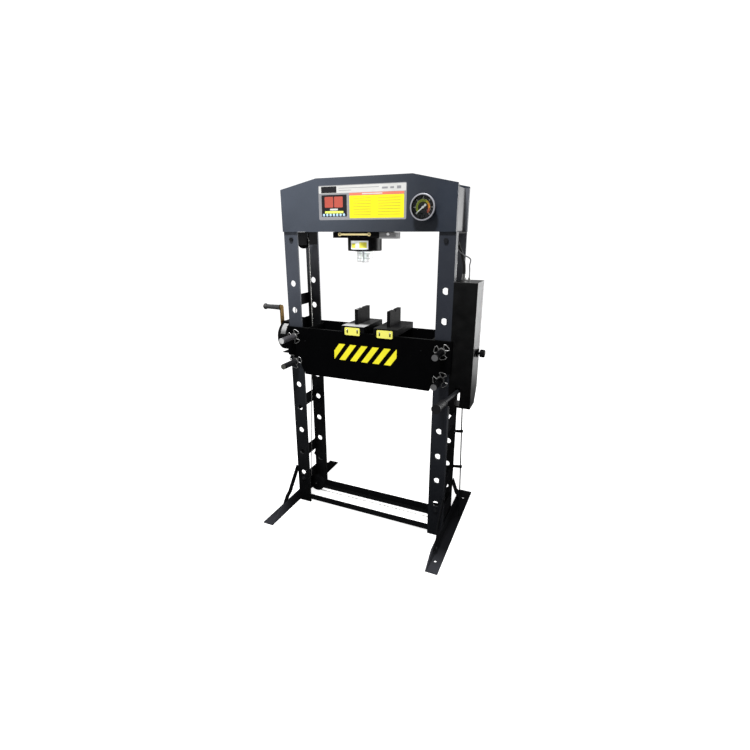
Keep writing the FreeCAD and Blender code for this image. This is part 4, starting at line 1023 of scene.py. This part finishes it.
# %% Tags
def outline_loop(mesh, x0, x1, z0, z1, corner, y):
    """A closed loop of edges round a rectangle with round corners, in millimetres."""
    around = []
    for step in range(20):
        turn_on = 2 * math.pi * (step + 0.5) / 20
        x = (x1 - corner if math.cos(turn_on) > 0 else x0 + corner) + corner * math.cos(turn_on)
        z = (z1 - corner if math.sin(turn_on) > 0 else z0 + corner) + corner * math.sin(turn_on)
        around.append(mesh.verts.new((x / 1000, y / 1000, z / 1000)))
    return [mesh.edges.new(pair) for pair in zip(around, around[1:] + around[:1])]


BUTTON = ((0, 1.6), (1.8, 1.6), (2.0, 2.6), (2.8, 2.9), (3.6, 2.3), (4.3, 1.2), (4.6, 0), (0, 0))
TAG_BACK, TAG_FACE = -119.6, -125.0
SCREW_REACH = 28.0
for side, middle in (("left", -58.0), ("right", 120.0)):
    tag = bmesh.new()
    loops = outline_loop(tag, middle - 43, middle + 41, 1076, 1115, 6.0, TAG_BACK)
    for x in (middle - SCREW_REACH, middle + SCREW_REACH):
        loops += outline_loop(tag, x - 4, x + 4, 1084, 1108, 3.9, TAG_BACK)
    bmesh.ops.triangle_fill(tag, use_beauty=True, use_dissolve=True, edges=loops)
    thicken(tag, tag.faces[:], Vector((0, (TAG_FACE - TAG_BACK) / 1000, 0)))
    name = "block_tag_%s_rounded" % side
    add_piece(name, finish_mesh(tag, name), tag_yellow, "frame", "yellow_paint", "block_tag_" + side)
    screws = bmesh.new()
    for x in (-SCREW_REACH, SCREW_REACH):
        lathe(screws, BUTTON, (middle + x, TAG_FACE, 1104), (0, -1, 0))
    name = "tag_screws_" + side
    add_piece(name, finish_mesh(screws, name), galvanised, "frame", "dark_steel")
print("tags screwed on")

# %% Single screws
HEXAGON = ((0, 2.4), (3.0, 2.4), (3.4, 4.6), (6.4, 5.0), (7.2, 4.2), (7.2, 0), (0, 0))
clamp_screw = bmesh.new()
lathe(clamp_screw, HEXAGON, (125, -100, 1568), (0, -1, 0), 6)
# The screw's near-white finish is a painted glint.
add_piece("clamp_screw", finish_mesh(clamp_screw, "clamp_screw"), zinc_painted_glint, "carriage", "dark_steel")
buttons = bmesh.new()
for x, z in ((307, 1031), (-346, 1018)):
    lathe(buttons, BUTTON, (x, BED_FACE, z), (0, -1, 0))
add_piece("bed_buttons", finish_mesh(buttons, "bed_buttons"), black_frame, "frame", "dark_steel")
print("screws in")

# %% [markdown]
# ## Floor and light
# The photograph has a white ground under an even white light, but its black faces reflect a dark studio and
# the gauge throws a deep shadow. So the floor is a big pale disc that glows more for the camera than for the
# press, and two black sheets lie on it that only reflections see. The sky is split in the same way.

# %% Floor
def studio_disc(name, reach, height, material, segments, front_only=False):
    """A flat disc of the studio, or only the part of it that lies in front of the press."""
    mesh = bmesh.new()
    bmesh.ops.create_circle(mesh, cap_ends=True, segments=segments, radius=reach)
    if front_only:
        bmesh.ops.bisect_plane(mesh, geom=mesh.verts[:] + mesh.edges[:] + mesh.faces[:],
                               plane_co=(0, -0.45, 0), plane_no=(0, 1, 0), clear_outer=True)
    bmesh.ops.translate(mesh, vec=(0, 0, height), verts=mesh.verts)
    data = bpy.data.meshes.new(name)
    mesh.to_mesh(data)
    mesh.free()
    data.materials.append(material)
    disc = put_in_scene(name, data)
    return disc


PAPER_LIGHT = 0.34
PAPER_SEEN = 0.80
white_paper, paper_tree, paper_shader, _ = new_finish("studio_white")
paper_shader.inputs["Base Color"].default_value = (0.62, 0.62, 0.62, 1.0)
paper_shader.inputs["Emission Color"].default_value = (1.0, 1.0, 1.0, 1.0)
paper_seen = paper_tree.nodes.new("ShaderNodeLightPath").outputs["Is Camera Ray"]
paper_glow = remap(paper_tree, paper_seen, 0.0, 1.0, PAPER_LIGHT, PAPER_SEEN)
paper_tree.links.new(paper_glow, paper_shader.inputs["Emission Strength"])
paper_shader.inputs["Roughness"].default_value = 0.9
paper_shader.inputs["Specular IOR Level"].default_value = 0.1
studio_disc("studio_floor", 30.0, -0.0004, white_paper, 96)
print("floor laid")


# %% Black flags for the gloss
flag_black, _, flag_shader, _ = new_finish("flag_black")
flag_shader.inputs["Base Color"].default_value = (0.0, 0.0, 0.0, 1.0)
flag_shader.inputs["Specular IOR Level"].default_value = 0.0
for flag in (studio_disc("front_flag", 28.0, -0.0003, flag_black, 64, True),
             studio_disc("near_flag", 3.0, -0.0002, flag_black, 64)):
    flag.visible_camera = False
    flag.visible_diffuse = False
    flag.visible_shadow = False
    flag.visible_transmission = False
print("flags laid")

# %% [markdown]
# ### Lamps
# One small lamp high in front gives the shadow below the gauge. A wide one behind the right side rakes over
# the pump box, as the bright side of the box shows, and a narrow beam picks out the ram in the header's
# shade. Area lamps are used, since their size sets how soft a shadow is.


# %% Lamps
def soft_lamp(name, place, target, width, height, power, spread=180):
    """A rectangular lamp that looks at a point. Spread is how wide its beam opens, in degrees."""
    light = bpy.data.lights.new(name, "AREA")
    light.shape = "RECTANGLE"
    light.size = width
    light.size_y = height
    light.energy = power
    light.spread = math.radians(spread)
    lamp = put_in_scene(name, light)
    aim = (Vector(target) - Vector(place)).to_track_quat("-Z", "Y").to_matrix().to_4x4()
    lamp.matrix_world = Matrix.Translation(place) @ aim
    lamp.visible_camera = False


soft_lamp("key_lamp", (0.1, -2.0, 4.6), (0.1, -0.1, 1.5), 0.5, 0.5, 255.0)
soft_lamp("side_lamp", (1.9, 1.7, 1.32), (0.5, 0.0, 1.2), 1.2, 1.5, 60.0)
soft_lamp("ram_lamp", (-0.35, -1.5, 1.15), (-0.041, -0.05, 1.455), 0.08, 0.08, 0.05, 7)

# %% Sky
SKY_LIGHT = 0.46
SKY_SEEN = 1.1
sky = bpy.data.worlds.new("studio_sky")
sky.use_nodes = True
background = sky.node_tree.nodes["Background"]
background.inputs["Color"].default_value = (1.0, 1.0, 1.0, 1.0)
seen = sky.node_tree.nodes.new("ShaderNodeLightPath").outputs["Is Camera Ray"]
sky_strength = remap(sky.node_tree, seen, 0.0, 1.0, SKY_LIGHT, SKY_SEEN)
sky.node_tree.links.new(sky_strength, background.inputs["Strength"])
bpy.context.scene.world = sky
bpy.context.scene.view_settings.view_transform = "Standard"
print("sky:", SKY_LIGHT, "for the press,", SKY_SEEN, "for the camera")
